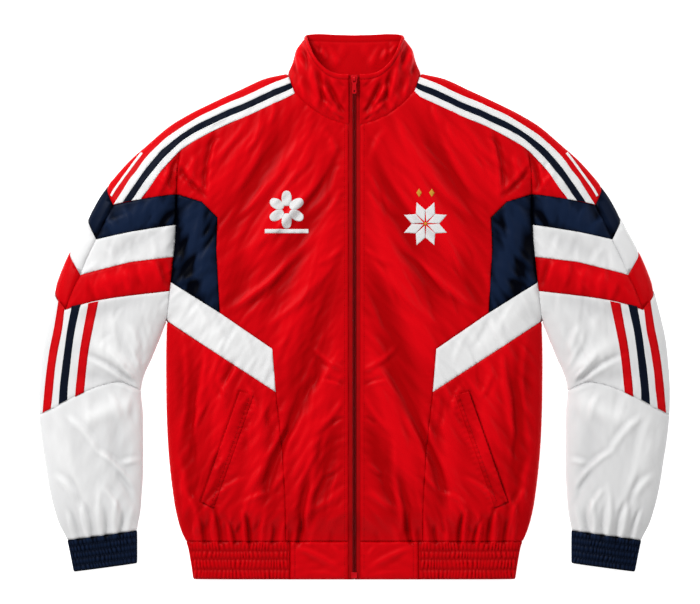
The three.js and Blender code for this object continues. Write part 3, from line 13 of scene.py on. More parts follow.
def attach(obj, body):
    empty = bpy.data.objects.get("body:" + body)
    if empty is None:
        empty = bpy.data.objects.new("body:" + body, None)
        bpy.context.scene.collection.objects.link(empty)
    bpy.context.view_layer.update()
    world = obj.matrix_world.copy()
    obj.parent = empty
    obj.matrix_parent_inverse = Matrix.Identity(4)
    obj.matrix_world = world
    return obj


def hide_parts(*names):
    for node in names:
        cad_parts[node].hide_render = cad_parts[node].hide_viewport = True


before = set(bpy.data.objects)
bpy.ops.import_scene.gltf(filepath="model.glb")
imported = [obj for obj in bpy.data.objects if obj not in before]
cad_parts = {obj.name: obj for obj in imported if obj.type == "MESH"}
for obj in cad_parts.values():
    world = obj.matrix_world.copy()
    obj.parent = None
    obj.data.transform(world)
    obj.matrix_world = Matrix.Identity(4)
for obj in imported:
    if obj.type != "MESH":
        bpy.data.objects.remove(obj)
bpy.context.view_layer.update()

LOG = logging.getLogger("track_jacket")

# Sizes are in millimetres, as on a cutting table, and become metres when a mesh is finished.
# x is measured outwards from the zip on either side, y towards the collar, z up from the table.
MM = 0.001
BODY = "jacket"

# Flattened tubes: height and reach of a turned edge, and how the cloth rises from it.
FOLD_Z = 5.0
FOLD_REACH = 5.0
FOLD_TURN = 8.0
EASE = 14.0
RISE = 62.0
BODY_PUFF = 26.0
HEM_PUFF = 16.0
VALLEY_WIDTH = 11.0

# Zip, hem and collar.
ZIP_HALF = 7.8
ZIP_DROP = 0.5
HEM_TOP = -333.5
HEM_BOTTOM = -387.3
HEM_REACH = 46.0
TAB_HALF = 91.3
TAB_SEAM = 84.5
UNDERARM_Y = -20.0
COLLAR_RIM_Z = 37.0
COLLAR_SIDE_Z = 8.0
COLLAR_RISE = 46.0
COLLAR_WALL = 2.0
CUFF_REACH = 62.0

# Cloth.
PANEL_WALL = 0.9
BAND_WALL = 1.4
TAPE_WALL = 0.7
TAPE_LIFT = 0.45
NARROWEST = 10.5
SEAM_DEPTH = 1.15
SEAM_WIDTH = 1.15

Point2 = tuple[float, float]
Colour = tuple[float, float, float]

# Sleeve sections from the neck to the cuff: outer outline, armhole or inner fold, puff and seam dip.
STATIONS = np.array(
    [
        (94.9, 331.6, 86.9, 309.6, 26, 0.0),
        (125.4, 325.1, 111.2, 293.2, 26, 0.0),
        (163.7, 308.1, 146.0, 276.5, 26, 0.0),
        (200.6, 291.0, 185.0, 258.2, 26, 0.0),
        (234.7, 274.0, 214.8, 244.6, 26, 0.0),
        (267.4, 253.4, 246.1, 223.6, 26, 0.5),
        (293.7, 230.7, 250.3, 201.6, 26, 2.5),
        (318.5, 208.7, 251.8, 177.4, 26, 4.5),
        (341.2, 183.8, 252.5, 150.4, 26, 6.5),
        (361.1, 158.3, 253.2, 122.0, 26, 8.5),
        (377.2, 129.6, 254.9, 90.8, 26, 9.5),
        (392.3, 101.5, 257.9, 61.0, 26, 9.0),
        (405.1, 78.0, 260.9, 32.6, 26, 6.5),
        (416.5, 52.5, 264.0, 4.2, 26, 3.0),
        (425.7, 26.2, 267.1, -20.0, 26, 0.0),
        (432.1, 1.3, 271.2, -31.3, 25, 0.0),
        (437.8, -21.4, 276.5, -45.5, 25, 0.0),
        (442.8, -44.1, 282.3, -59.7, 25, 0.0),
        (445.6, -66.8, 288.7, -75.3, 24, 0.0),
        (447.7, -89.5, 295.4, -89.5, 24, 0.0),
        (449.1, -112.3, 301.5, -108.0, 24, 0.0),
        (449.1, -133.6, 302.6, -126.5, 24, 0.0),
        (448.3, -156.3, 300.6, -147.8, 25, 0.0),
        (444.9, -188.9, 300.0, -179.0, 25, 0.0),
        (439.9, -220.2, 300.0, -210.2, 24, 0.0),
        (434.9, -252.8, 300.3, -240.1, 23, 0.0),
        (427.8, -284.1, 302.0, -267.0, 22, 0.0),
        (420.0, -308.2, 304.0, -291.2, 20, 0.0),
        (408.5, -331.8, 308.6, -317.8, 15, 0.0),
        (405.0, -347.0, 308.6, -333.3, 14, 0.0),
        (402.0, -362.0, 308.6, -349.0, 14, 0.0),
        (399.2, -376.8, 308.7, -364.6, 14, 0.0),
    ],
    dtype=[(name, float) for name in ("out_x", "out_y", "in_x", "in_y", "puff", "dip")],
)
SADDLE_ROW = 5
UNDERARM_ROW = 14
CUFF_ROW = 28
SADDLE_BACK = 14.0

# Side fold of the body from the underarm to the hem.
BODY_SIDE = np.array(
    [
        (-20.0, 266.5),
        (-61.1, 267.7),
        (-103.7, 267.7),
        (-160.5, 266.7),
        (-203.1, 264.5),
        (-259.9, 258.6),
        (-288.3, 254.2),
        (-316.7, 246.7),
        (-339.5, 237.3),
        (-359.3, 233.3),
        (-387.3, 229.0),
    ],
    dtype=[("y", float), ("x", float)],
)

# Edges of the sewn shoulder panel below the tapes, as distances from the zip at each height.
TAPE_ROWS = np.array(
    [
        (308.1, 139.6, 124.0, 118.3, 101.2, 96.0, 90.5),
        (291.0, 175.1, 160.9, 155.2, 135.3, 129.6, 117.4),
        (274.0, 210.6, 199.2, 193.5, 173.7, 166.6, 152.9),
        (256.9, 241.8, 231.9, 226.2, 210.6, 204.9, 189.4),
        (237.1, 268.8, 258.9, 256.0, 246.1, 240.4, 229.0),
        (222.9, 285.8, 277.3, 273.1, 263.0, 259.5, 249.5),
        (194.5, 310.0, 301.5, 297.2, 287.3, 283.0, 274.5),
        (166.1, 327.0, 321.3, 317.1, 308.6, 304.3, 295.8),
    ],
    dtype=[
        (name, float)
        for name in ("y", "upper_out", "upper_in", "middle_out", "middle_in", "lower_out", "lower_in")
    ],
)
# Lines between the three shoulder tapes, from the neck down.
TAPE_LINES: dict[str, list[Point2]] = {
    "top": [
        (86.3, 329.4), (97.0, 325.1), (112.6, 319.4), (133.9, 309.5),
        (155.2, 299.5), (176.5, 291.0), (197.8, 281.1), (219.1, 271.1),
        (240.4, 258.4), (261.7, 244.2), (285.8, 222.9), (298.6, 208.7),
        (308.6, 194.5), (319.9, 180.3), (328.4, 166.1), (334.1, 157.5),
        (341.5, 145.8),
    ],
    "upper": [
        (84.8, 320.8), (97.0, 315.2), (112.6, 309.5), (133.9, 299.5),
        (155.2, 289.6), (176.5, 281.1), (197.8, 271.1), (219.1, 261.2),
        (240.4, 248.4), (261.7, 232.8), (273.1, 222.9), (285.8, 208.7),
        (297.2, 194.5), (307.1, 180.3), (317.1, 166.1), (322.8, 157.5),
        (328.7, 148.5),
    ],
    "lower": [
        (83.9, 313.0), (97.0, 306.2), (112.6, 299.5), (133.9, 289.6),
        (155.2, 279.7), (176.5, 271.1), (197.8, 261.2), (219.1, 251.3),
        (240.4, 238.5), (261.7, 220.0), (273.1, 208.7), (284.4, 194.5),
        (295.8, 180.3), (305.7, 166.1), (311.4, 157.5), (316.4, 150.7),
    ],
    "bottom": [
        (82.2, 304.4), (97.0, 296.7), (112.6, 289.6), (133.9, 279.7),
        (155.2, 269.7), (176.5, 261.2), (197.8, 251.3), (219.1, 239.9),
        (240.4, 227.1), (246.1, 222.9), (260.3, 208.7), (273.1, 194.5),
        (283.0, 180.3), (292.9, 166.1), (300.0, 157.5), (302.9, 152.9),
    ],
}
STRIPE_ROWS = np.array(
    [
        (-32.7, 427.2, 415.0, 407.6, 396.6, 384.6, 371.6),
        (-61.1, 433.0, 420.8, 411.6, 400.8, 389.4, 377.0),
        (-89.5, 437.2, 425.2, 415.4, 404.0, 392.8, 380.6),
        (-117.9, 440.2, 428.0, 418.4, 407.0, 395.6, 383.4),
    ],
    dtype=[
        (name, float)
        for name in ("y", "outer_out", "outer_in", "middle_out", "middle_in", "inner_out", "inner_in")
    ],
)
STRIPE_ENDS: dict[str, tuple[Point2, Point2, Point2, Point2]] = {
    "outer": ((420.4, 9.6), (443.0, -150.6), (431.0, -144.2), (411.4, -1.8)),
    "middle": ((401.4, 0.6), (419.8, -138.4), (407.4, -131.8), (388.6, 4.0)),
    "inner": ((377.6, 5.2), (396.2, -127.4), (383.8, -121.2), (363.0, 8.2)),
}

# Colour bands of the sleeve: overarm point, a point on the way, the armhole end and the outline.
CHEVRONS: list[tuple[Point2, Point2, Point2, Point2]] = [
    ((342.6, 144.8), (308.6, 151.9), (252.9, 160.1), (347.8, 172.9)),
    ((366.8, 95.9), (318.5, 106.4), (253.2, 116.4), (377.4, 128.6)),
    ((389.1, 45.4), (317.1, 63.8), (257.0, 70.9), (402.9, 79.7)),
    ((410.5, -4.3), (332.7, 14.1), (262.0, 22.4), (425.3, 22.4)),
]
ELBOW: list[Point2] = [
    (446.3, -153.4),
    (429.0, -144.9),
    (405.8, -131.8),
    (382.0, -120.3),
    (349.7, -109.4),
    (329.9, -107.3),
    (317.4, -111.8),
    (303.8, -119.5),
]
# Edge of the rear shoulder tape where it comes over the outline onto the front.
REAR_PIPING: list[Point2] = [(303.2, 220.2), (312.1, 208.7), (322.3, 194.5), (332.7, 180.3), (342.7, 166.1), (346.8, 158.6)]

# Seams of the body front.
NECK_SEAM: list[Point2] = [
    (86.9, 309.6),
    (82.8, 304.8),
    (69.2, 290.3),
    (54.7, 278.7),
    (40.2, 270.0),
    (25.7, 264.0),
    (7.8, 259.1),
]
INSERT_TOP_Y = 160.1
INSERT_CORNERS: list[Point2] = [(216.3, 149.0), (194.1, 126.9), (195.7, 80.9), (190.8, -8.6)]
BAND_TOP_Y = 34.9
BAND_CORNERS: list[Point2] = [(116.4, -59.6), (111.5, -120.8)]
CENTRE_SEAM: list[Point2] = [(103.2, -196.0), (98.4, -271.3), (97.0, HEM_TOP)]
WELT: list[Point2] = [(162.2, -119.9), (142.6, -125.7), (199.1, -285.2), (217.3, -276.4)]

# Collar rings from the zip to the centre back: seam point, rim point, and how far the ring has turned.
RINGS = np.array(
    [
        (7.8, 259.1, 7.8, 328.7, 0),
        (25.7, 264.0, 22.0, 329.0, 0),
        (40.2, 270.0, 35.0, 333.0, 0),
        (54.7, 278.7, 47.0, 342.2, 0),
        (69.2, 290.3, 57.0, 355.0, 0),
        (82.8, 304.8, 64.0, 369.5, 0),
        (87.2, 312.0, 67.6, 379.0, 0),
        (90.8, 322.0, 68.9, 383.0, 0),
        (94.3, 331.8, 69.2, 385.0, 1),
        (91.8, 325.0, 68.2, 385.8, 2),
        (89.2, 318.0, 65.0, 386.4, 3),
        (72.8, 310.8, 52.0, 387.2, 3),
        (41.6, 308.8, 28.0, 386.2, 3),
        (0.0, 308.1, 0.0, 385.4, 3),
    ],
    dtype=[(name, float) for name in ("seam_x", "seam_y", "rim_x", "rim_y", "turn")],
)
COLLAR_SIDE: list[Point2] = [(69.2, 384.5), (78.5, 367.0), (84.3, 349.7), (86.5, 341.0)]

FOLD_COLUMNS = [(name, float) for name in ("x0", "y0", "x1", "y1", "wide", "high")]
# Largest folds, the same as in the solids: a soft ridge, or a trough where high is negative.
LARGE_FOLDS = np.array(
    [
        (60, 240, 150, 60, 13, 3.0),
        (98, 250, 190, 96, 12, -2.6),
        (140, 250, 212, 150, 11, 2.4),
        (28, 210, 120, 0, 13, -2.8),
        (30, 130, 108, -70, 14, 3.0),
        (150, 70, 184, -10, 12, -2.4),
        (26, 40, 92, -130, 13, -2.6),
        (24, -60, 84, -250, 13, 3.0),
        (40, -40, 76, -160, 11, -2.2),
        (22, -170, 62, -300, 12, -2.8),
        (128, -140, 146, -300, 12, 2.8),
        (112, -150, 124, -290, 11, -2.6),
        (205, -60, 178, -230, 14, 2.4),
        (246, -70, 226, -260, 12, -2.4),
        (236, 140, 206, 20, 12, 2.6),
        (246, 96, 222, 0, 11, -2.2),
        (245, 10, 170, -70, 12, 1.8),
        (268, 196, 300, 168, 11, 2.4),
        (270, 150, 340, 110, 13, 2.6),
        (274, 104, 356, 66, 12, -2.4),
        (280, 56, 372, 30, 12, 2.4),
        (296, 10, 392, -20, 13, -2.4),
        (306, -96, 372, -50, 12, 3.0),
        (308, -112, 392, -96, 11, -2.6),
        (310, -132, 396, -168, 12, 2.8),
        (430, -180, 396, -260, 12, 2.4),
        (340, -150, 330, -260, 13, -2.2),
    ],
    dtype=FOLD_COLUMNS,
)
# Sharper creases of the body front, placed one by one.
BODY_CREASES = np.array(
    [
        (149, 259, 217, 190, 5, 1.6),
        (83, 214, 163, 125, 6, 1.8),
        (31, 205, 130, 82, 6, 1.9),
        (17, 186, 66, 125, 5, 1.3),
        (19, 167, 36, 134, 4, 1.2),
        (54, 101, 149, 7, 6, 1.8),
        (26, 61, 116, -31, 6, 1.7),
        (87, 66, 168, -5, 5, 1.5),
        (17, 82, 50, 59, 4, 1.3),
        (203, 247, 217, 162, 4, -2.6),
        (250, 195, 215, 157, 4, -2.4),
        (130, 259, 151, 219, 4, 1.5),
        (111, 285, 120, 259, 4, 1.2),
        (193, 242, 208, 226, 3, -1.4),
        (120, 247, 172, 153, 6, 1.7),
        (64, 205, 111, 143, 5, -1.3),
        (60, 262, 92, 208, 6, 1.2),
        (226, 214, 236, 172, 5, 1.6),
        (40, 250, 22, 210, 5, 1.0),
        (212, 101, 250, 54, 5, 1.5),
        (206, 120, 234, 66, 4, -1.2),
        (202, 60, 240, 34, 5, 1.2),
        (214, 142, 226, 96, 5, 1.3),
        (226, 8, 206, -26, 4, 0.9),
        (196, -10, 172, -58, 4, -0.9),
        (160, -32, 140, -76, 4, 0.8),
        (94, -153, 142, -258, 6, 2.6),
        (84, -150, 130, -262, 5, -2.0),
        (50, -83, 113, -210, 6, -2.2),
        (62, -222, 84, -345, 6, -3.0),
        (52, -200, 72, -318, 6, 2.2),
        (12, -129, 53, -182, 4, 1.7),
        (17, -155, 31, -165, 3, -1.6),
        (16, -92, 60, -60, 4, 1.3),
        (14, -108, 42, -100, 3, -1.2),
        (235, -54, 245, -201, 5, 1.7),
        (206, -59, 226, -196, 5, 1.6),
        (222, -70, 236, -214, 4, -1.5),
        (199, -270, 161, -242, 4, 1.7),
        (158, -278, 122, -262, 4, 1.3),
        (96, -232, 118, -262, 4, 1.5),
        (44, -232, 52, -262, 4, 1.2),
        (18, -222, 40, -240, 3, 1.3),
        (16, -262, 60, -290, 5, 1.2),
        (182, -128, 196, -96, 4, 1.3),
        (150, -112, 138, -150, 4, 1.4),
        (128, -128, 122, -172, 4, -1.2),
        (248, -214, 236, -286, 5, 1.6),
        (240, -258, 216, -312, 4, 1.5),
    ],
    dtype=FOLD_COLUMNS,
)
# Gathers above the hem and above the cuffs: each starts at the band and fades upwards.
GATHERS = np.array(
    [
        (237, -345, 246, -306, 3.2, -1.6),
        (224, -348, 229, -298, 3.4, 2.0),
        (211, -346, 217, -300, 2.8, -3.2),
        (199, -348, 203, -290, 3.8, 2.4),
        (187, -348, 196, -286, 2.8, -3.4),
        (176, -346, 179, -296, 3.6, 2.4),
        (166, -346, 177, -302, 2.6, -3.0),
        (156, -348, 158, -286, 3.8, 2.4),
        (147, -350, 152, -292, 3.0, -4.0),
        (134, -346, 128, -290, 4.2, 2.4),
        (118, -344, 112, -312, 2.6, -2.6),
        (106, -346, 100, -300, 4.0, 2.0),
        (94, -344, 90, -316, 2.8, -1.8),
        (83, -350, 71, -296, 3.2, -4.4),
        (66, -344, 56, -310, 4.4, 1.2),
        (36, -342, 30, -320, 3.4, -0.9),
        (396, -342, 408, -296, 3.0, 2.2),
        (389, -340, 402, -288, 2.6, -2.8),
        (379, -338, 390, -276, 3.6, 2.4),
        (370, -338, 378, -282, 2.6, -3.0),
        (361, -338, 366, -262, 3.8, 2.6),
        (352, -336, 352, -286, 2.6, -2.8),
        (343, -334, 340, -272, 3.6, 2.2),
        (334, -332, 326, -290, 2.6, -2.8),
        (325, -330, 315, -282, 3.2, 2.2),
        (316, -328, 308, -296, 2.6, -1.8),
    ],
    dtype=FOLD_COLUMNS,
)
SLEEVE_CREASES = np.array(
    [
        (252, 214, 262, 178, 3.5, -2.8),
        (262, 196, 276, 162, 4, 1.8),
        (282, 190, 258, 160, 4, 1.5),
        (274, 206, 268, 190, 3, -1.6),
        (326, 141, 318, 112, 4, 1.0),
        (291, 142, 286, 116, 4, -1.0),
        (272, 142, 284, 118, 5, 1.4),
        (258, 138, 276, 112, 4, -1.4),
        (352, 128, 336, 104, 5, 1.2),
        (290, 102, 280, 70, 5, 1.0),
        (318, 98, 308, 70, 5, -0.8),
        (352, 84, 338, 62, 5, 0.9),
        (326, 54, 317, 18, 5, 1.4),
        (312, 58, 304, 27, 4, -1.5),
        (286, 66, 272, 36, 5, 1.7),
        (276, 60, 266, 30, 4, -1.5),
        (352, 46, 344, 12, 5, 1.2),
        (378, 30, 368, 4, 4, -1.1),
        (402, 66, 420, 20, 5, 1.0),
        (302, -114, 373, -65, 4, -2.2),
        (306, -108, 347, -67, 5, 1.8),
        (304, -108, 324, -84, 3, -1.8),
        (306, -118, 336, -104, 3, -1.5),
        (296, -80, 280, -60, 4, 1.6),
        (316, -28, 306, -62, 5, 1.6),
        (338, -30, 322, -70, 5, -1.2),
        (300, -92, 318, -60, 4, 1.7),
        (346, -10, 336, -46, 6, 1.0),
        (404, -155, 362, -204, 5, 1.6),
        (362, -204, 322, -240, 4, 1.8),
        (419, -155, 399, -222, 6, 1.2),
        (330, -222, 301, -217, 4, 1.5),
        (336, -236, 318, -262, 4, -1.4),
        (424, -238, 396, -268, 5, 1.6),
        (410, -232, 384, -292, 5, -1.4),
        (352, -258, 334, -292, 4, 1.5),
        (326, -250, 308, -290, 4, -1.2),
        (346, -122, 332, -160, 5, 1.3),
        (316, -128, 312, -170, 5, -1.2),
        (384, -126, 372, -170, 6, 0.9),
        (438, -170, 430, -230, 5, 1.0),
    ],
    dtype=FOLD_COLUMNS,
)
COLLAR_CREASES = np.array(
    [
        (82, 372, 50, 284, 4.5, 2.6),
        (76, 366, 58, 292, 4.5, -2.6),
        (61, 346, 47, 282, 4, 2.0),
        (52, 330, 44, 290, 4, -1.6),
        (47, 316, 20, 276, 4, 2.2),
        (40, 322, 24, 290, 4, -1.6),
        (34, 300, 16, 276, 3.2, -2.0),
        (42, 292, 20, 266, 3, 1.6),
        (30, 276, 16, 264, 2.4, -1.4),
        (26, 322, 14, 312, 2.4, -1.2),
        (36, 326, 20, 316, 2.6, 1.1),
        (84, 334, 70, 300, 3.5, 1.6),
        (88, 352, 80, 316, 3.5, -1.6),
        (70, 374, 60, 350, 3, 1.2),
    ],
    dtype=FOLD_COLUMNS,
)
# Hooked wrinkles on the inside of the collar's back.
INNER_CREASES = np.array(
    [
        (60, 374, 51, 360, 3, 2.2),
        (57, 378, 50, 370, 2.5, 2.0),
        (47, 366, 40, 352, 4, 2.6),
        (38, 370, 22, 344, 5, 1.3),
        (12, 372, 30, 340, 6, 1.0),
    ],
    dtype=FOLD_COLUMNS,
)

SHIRR_ROWS = (HEM_TOP, -346.6, -358.3, -372.8, HEM_BOTTOM)
HEM_RIB = 5.3
CUFF_RIB = 4.9
CUFF_ROWS = 4
STITCH = 2.3
STITCH_PITCH = 3.2


def clamp(value: np.ndarray | float, low: float = 0.0, high: float = 1.0) -> np.ndarray:
    """Value held between two limits."""
    return np.clip(value, low, high)


def smooth(share: np.ndarray | float) -> np.ndarray:
    """Soft step over 0 to 1."""
    held = clamp(share)
    return held * held * (3 - 2 * held)


class Curve:
    """Smooth curve through a table's values, with slopes taken from the neighbours."""

    def __init__(self, keys: Sequence[float], values: Sequence[float]) -> None:
        """Keeps the table in rising order.

        Args:
            keys: places of the values.
            values: the values.
        """
        order = np.argsort(keys)
        self.keys = np.asarray(keys, float)[order]
        self.values = np.asarray(values, float)[order]
        self.slopes = np.gradient(self.values, self.keys)

    def __call__(self, at: np.ndarray | float) -> np.ndarray:
        """Values at some places, held at the ends."""
        place = np.clip(np.asarray(at, float), self.keys[0], self.keys[-1])
        i = np.clip(np.searchsorted(self.keys, place, side="right") - 1, 0, len(self.keys) - 2)
        width = self.keys[i + 1] - self.keys[i]
        t = (place - self.keys[i]) / width
        low, high = self.values[i], self.values[i + 1]
        rise_in, rise_out = self.slopes[i] * width, self.slopes[i + 1] * width
        return (
            (2 * t**3 - 3 * t**2 + 1) * low
            + (t**3 - 2 * t**2 + t) * rise_in
            + (3 * t**2 - 2 * t**3) * high
            + (t**3 - t**2) * rise_out
        )


class Chain:
    """Run of straight steps, for the distance to an edge."""

    def __init__(self, points: Iterable[Point2], closed: bool = False) -> None:
        """Keeps the points and the length up to each.

        Args:
            points: the run's corners.
            closed: whether the last corner joins the first.
        """
        listed = list(points)
        self.points = np.asarray(listed + listed[:1] if closed else listed, float)
        steps = np.diff(self.points, axis=0)
        self.steps = steps
        self.squares = np.maximum((steps**2).sum(axis=1), 1e-9)
        self.starts = np.concatenate([[0], np.cumsum(np.sqrt(self.squares))])

    def nearest(self, x: np.ndarray, y: np.ndarray) -> tuple[np.ndarray, np.ndarray]:
        """Distance to the run and the length along it of the nearest place.

        Args:
            x: first coordinates.
            y: second coordinates.

        Returns:
            The distances and the lengths along.
        """
        best = np.full(np.shape(x), np.inf)
        along = np.zeros(np.shape(x))
        for i, (dx, dy) in enumerate(self.steps):
            ax, ay = self.points[i]
            t = clamp(((x - ax) * dx + (y - ay) * dy) / self.squares[i])
            distance = (x - ax - t * dx) ** 2 + (y - ay - t * dy) ** 2
            closer = distance < best
            best = np.where(closer, distance, best)
            along = np.where(closer, self.starts[i] + t * math.sqrt(self.squares[i]), along)
        return np.sqrt(best), along


def beyond(before: np.ndarray, last: np.ndarray, reach: float = 120.0) -> Point2:
    """Point a distance past the end of a run, so that an open end isn't an edge."""
    step = last - before
    return tuple(last + step * reach / np.hypot(*step))


class Ground:
    """The jacket's plan as it lies: its outlines, and how high the upper layer stands over the table."""

    def __init__(self) -> None:
        """Works out the lengths along the sleeve and the smooth outlines."""
        middle_x = (STATIONS["out_x"] + STATIONS["in_x"]) / 2
        middle_y = (STATIONS["out_y"] + STATIONS["in_y"]) / 2
        steps = np.hypot(np.diff(middle_x), np.diff(middle_y))
        self.lengths = np.concatenate([[0], np.cumsum(steps)])
        self.station = {name: Curve(self.lengths, STATIONS[name]) for name in STATIONS.dtype.names}
        self.side = Curve(BODY_SIDE["y"], BODY_SIDE["x"])
        dense = np.linspace(0, self.lengths[-1], 110)
        outer = np.column_stack([self.station["out_x"](dense), self.station["out_y"](dense)])
        inner = np.column_stack([self.station["in_x"](dense), self.station["in_y"](dense)])
        below = dense >= self.lengths[UNDERARM_ROW]
        side_y = np.linspace(UNDERARM_Y, HEM_BOTTOM, 45)
        side = np.column_stack([self.side(side_y), side_y])
        self.outer_edge = Chain([*COLLAR_SIDE, *outer, beyond(outer[-2], outer[-1])])
        self.inner_edge = Chain(
            [beyond(inner[-2], inner[-1]), *inner[below][::-1], *side, beyond(side[-2], side[-1])]
        )
        armhole = inner[~below]
        upper = armhole[armhole[:, 1] < STATIONS["in_y"][SADDLE_ROW] + 4]
        self.armhole = Chain([*upper, (STATIONS["in_x"][UNDERARM_ROW], UNDERARM_Y)])
        self.armhole_dip = Curve(STATIONS["in_y"], STATIONS["dip"])
        self.armhole_x = (np.append(armhole[:, 1], UNDERARM_Y), np.append(armhole[:, 0], 266.5))

    def armhole_shade(self, x: np.ndarray, y: np.ndarray) -> np.ndarray:
        """Painted shade beside the armhole seam, deepest where the seam dips; it darkens the cloth's colour and does
        not move the cloth.
        """
        return 0.3 * self.armhole_dip(y) * np.exp(-self.armhole.nearest(x, y)[0] / 4.5)

    def rises(self, x: np.ndarray, y: np.ndarray) -> tuple[np.ndarray, np.ndarray]:
        """Distances to the outer outline and to the inner folds."""
        return self.outer_edge.nearest(x, y)[0], self.inner_edge.nearest(x, y)[0]

    def height(self, x: np.ndarray, y: np.ndarray, puff: np.ndarray | float) -> np.ndarray:
        """Height of the upper layer without its folds.

        Args:
            x: distances from the zip.
            y: places towards the collar.
            puff: how high the cloth stands away from its edges.

        Returns:
            Heights over the table.
        """
        outer, inner = (clamp(distance / RISE) for distance in self.rises(x, y))
        risen = np.sqrt(outer * (2 - outer)) * np.sqrt(inner * (2 - inner))
        away = self.armhole.nearest(x, y)[0]
        dip = self.armhole_dip(y) * np.exp(-away / VALLEY_WIDTH)
        return np.maximum(FOLD_Z, FOLD_Z + (puff - FOLD_Z) * risen - dip)

    def freedom(self, x: np.ndarray, y: np.ndarray) -> np.ndarray:
        """Share of a fold that the cloth takes up: none at the folds, little beside the zip."""
        outer, inner = self.rises(x, y)
        edge = smooth(np.minimum(outer, inner) / 22)
        return edge * smooth((x - ZIP_HALF) / 12)

    def body_edge(self, y: np.ndarray) -> np.ndarray:
        """Distance from the zip to the body's side fold or armhole seam."""
        heights, across = self.armhole_x
        order = np.argsort(heights)
        above = np.interp(y, heights[order], across[order])
        return np.where(np.asarray(y) <= UNDERARM_Y, self.side(y), above)


GROUND = Ground()


def ease_out(u: np.ndarray, ease: np.ndarray | float) -> np.ndarray:
    """Plan distance from a fold for a distance along the cloth."""
    length = np.maximum(ease, 1e-3)
    eased = np.where(u < length, u * np.abs(u) / (2 * length), u - length / 2)
    return np.where(np.asarray(ease) < 0.01, u, eased)


def ease_in(plan: np.ndarray, ease: np.ndarray | float) -> np.ndarray:
    """Distance along the cloth for a plan distance from a fold."""
    length = np.maximum(ease, 1e-3)
    eased = np.where(plan < length / 2, np.sqrt(2 * length * np.maximum(plan, 0)), plan + length / 2)
    return np.where(np.asarray(ease) < 0.01, plan, eased)


def turned(distance: np.ndarray) -> tuple[np.ndarray, np.ndarray]:
    """Plan distance from the fold, and height, of cloth that turns under."""
    angle = clamp(distance / FOLD_TURN) * math.pi / 2
    flat = np.maximum(0, distance - FOLD_TURN)
    return FOLD_REACH * (1 - np.cos(angle)) + flat, FOLD_Z * (1 - np.sin(angle))


def crease_height(table: np.ndarray, x: np.ndarray, y: np.ndarray, companion: float = 0.0) -> np.ndarray:
    """Height of a table of soft ridges and troughs.

    Args:
        table: rows with two ends, a width and a height.
        x: distances from the zip.
        y: places towards the collar.
        companion: share of each fold's height that returns as the opposite fold beside it.

    Returns:
        Heights to add.
    """
    total = np.zeros(np.shape(x))
    for row in table:
        dx, dy = row["x1"] - row["x0"], row["y1"] - row["y0"]
        length = math.hypot(dx, dy)
        along = ((x - row["x0"]) * dx + (y - row["y0"]) * dy) / length**2
        bow = 0.05 * length * (2 * along - 1) ** 2 * (1 if row["high"] > 0 else -1)
        across = ((x - row["x0"]) * dy - (y - row["y0"]) * dx) / length + (bow if companion else 0)
        taper = np.exp(-((2 * along - 1) ** 4))
        shape = np.exp(-((across / row["wide"]) ** 2))
        if companion:
            shape = shape - companion * np.exp(-(((across - 1.7 * row["wide"]) / row["wide"]) ** 2))
        total = total + row["high"] * taper * shape
    return total


def ripples(
    x: np.ndarray, y: np.ndarray, seed: int, pitch: float, lean: float, count: int = 9
) -> np.ndarray:
    """Uneven soft ridges that run roughly one way, from a few bent and fading waves.

    Args:
        x: first coordinates.
        y: second coordinates.
        seed: seed of the waves.
        pitch: usual distance between ridges.
        lean: direction across the ridges, in radians from x.
        count: number of waves.

    Returns:
        Heights of about -1 to 1.
    """
    draw = np.random.default_rng(seed)
    total = np.zeros(np.shape(x))
    for _ in range(count):
        angle = lean + draw.normal(0, 0.2)
        across = x * math.cos(angle) + y * math.sin(angle)
        along = y * math.cos(angle) - x * math.sin(angle)
        bend = draw.uniform(0.1, 0.35) * pitch * np.sin(along / draw.uniform(2.2, 5) / pitch + draw.uniform(0, 6))
        fade = np.sin(along / draw.uniform(2, 5) / pitch + draw.uniform(0, 6)) + np.sin(
            across / draw.uniform(1.5, 4) / pitch + draw.uniform(0, 6)
        )
        wave = np.cos((across + bend) * 2 * math.pi / pitch / draw.uniform(0.7, 1.5) + draw.uniform(0, 6))
        total = total + clamp(0.4 + 0.5 * fade) * (np.abs(wave) ** 1.6 * np.sign(wave))
    return total / math.sqrt(count)


class Side(Enum):
    """Wearer's side; the value is the sign of x."""

    LEFT = 1
    RIGHT = -1

    @property
    def word(self) -> str:
        """The side's word in a node's name."""
        return self.name.lower()


class Layout:
    """A cloth surface laid out flat, with its place, its outward direction and its relief."""

    def base(self, u: np.ndarray, s: np.ndarray) -> np.ndarray:
        """Points of the surface without its folds."""
        raise NotImplementedError

    def relief(self, u: np.ndarray, s: np.ndarray, points: np.ndarray, side: Side) -> np.ndarray:
        """Height of the folds."""
        raise NotImplementedError

    def normals(self, u: np.ndarray, s: np.ndarray) -> np.ndarray:
        """Outward unit directions, from small steps over the surface."""
        step = 0.6
        across = self.base(u + step, s) - self.base(u - step, s)
        down = self.base(u, s + step) - self.base(u, s - step)
        found = np.cross(across, down)
        return found / np.maximum(np.linalg.norm(found, axis=1, keepdims=True), 1e-9)

    def place(self, u: np.ndarray, s: np.ndarray, side: Side, lift: np.ndarray | float = 0.0) -> np.ndarray:
        """Points on the folded surface, or a distance out of it.

        Args:
            u: first layout coordinates.
            s: second layout coordinates.
            side: wearer's side.
            lift: distance out of the cloth.

        Returns:
            Points in millimetres, on the wanted side.
        """
        return self.raised(u, s, side, lift)[0]

    def raised(
        self, u: np.ndarray, s: np.ndarray, side: Side, lift: np.ndarray | float
    ) -> tuple[np.ndarray, np.ndarray]:
        """Points on the folded surface, and how far each stands out of the plain surface."""
        points = self.base(u, s)
        height = self.relief(u, s, points, side) + lift
        moved = points + self.normals(u, s) * np.asarray(height)[:, None]
        moved[:, 0] *= side.value
        return moved, height


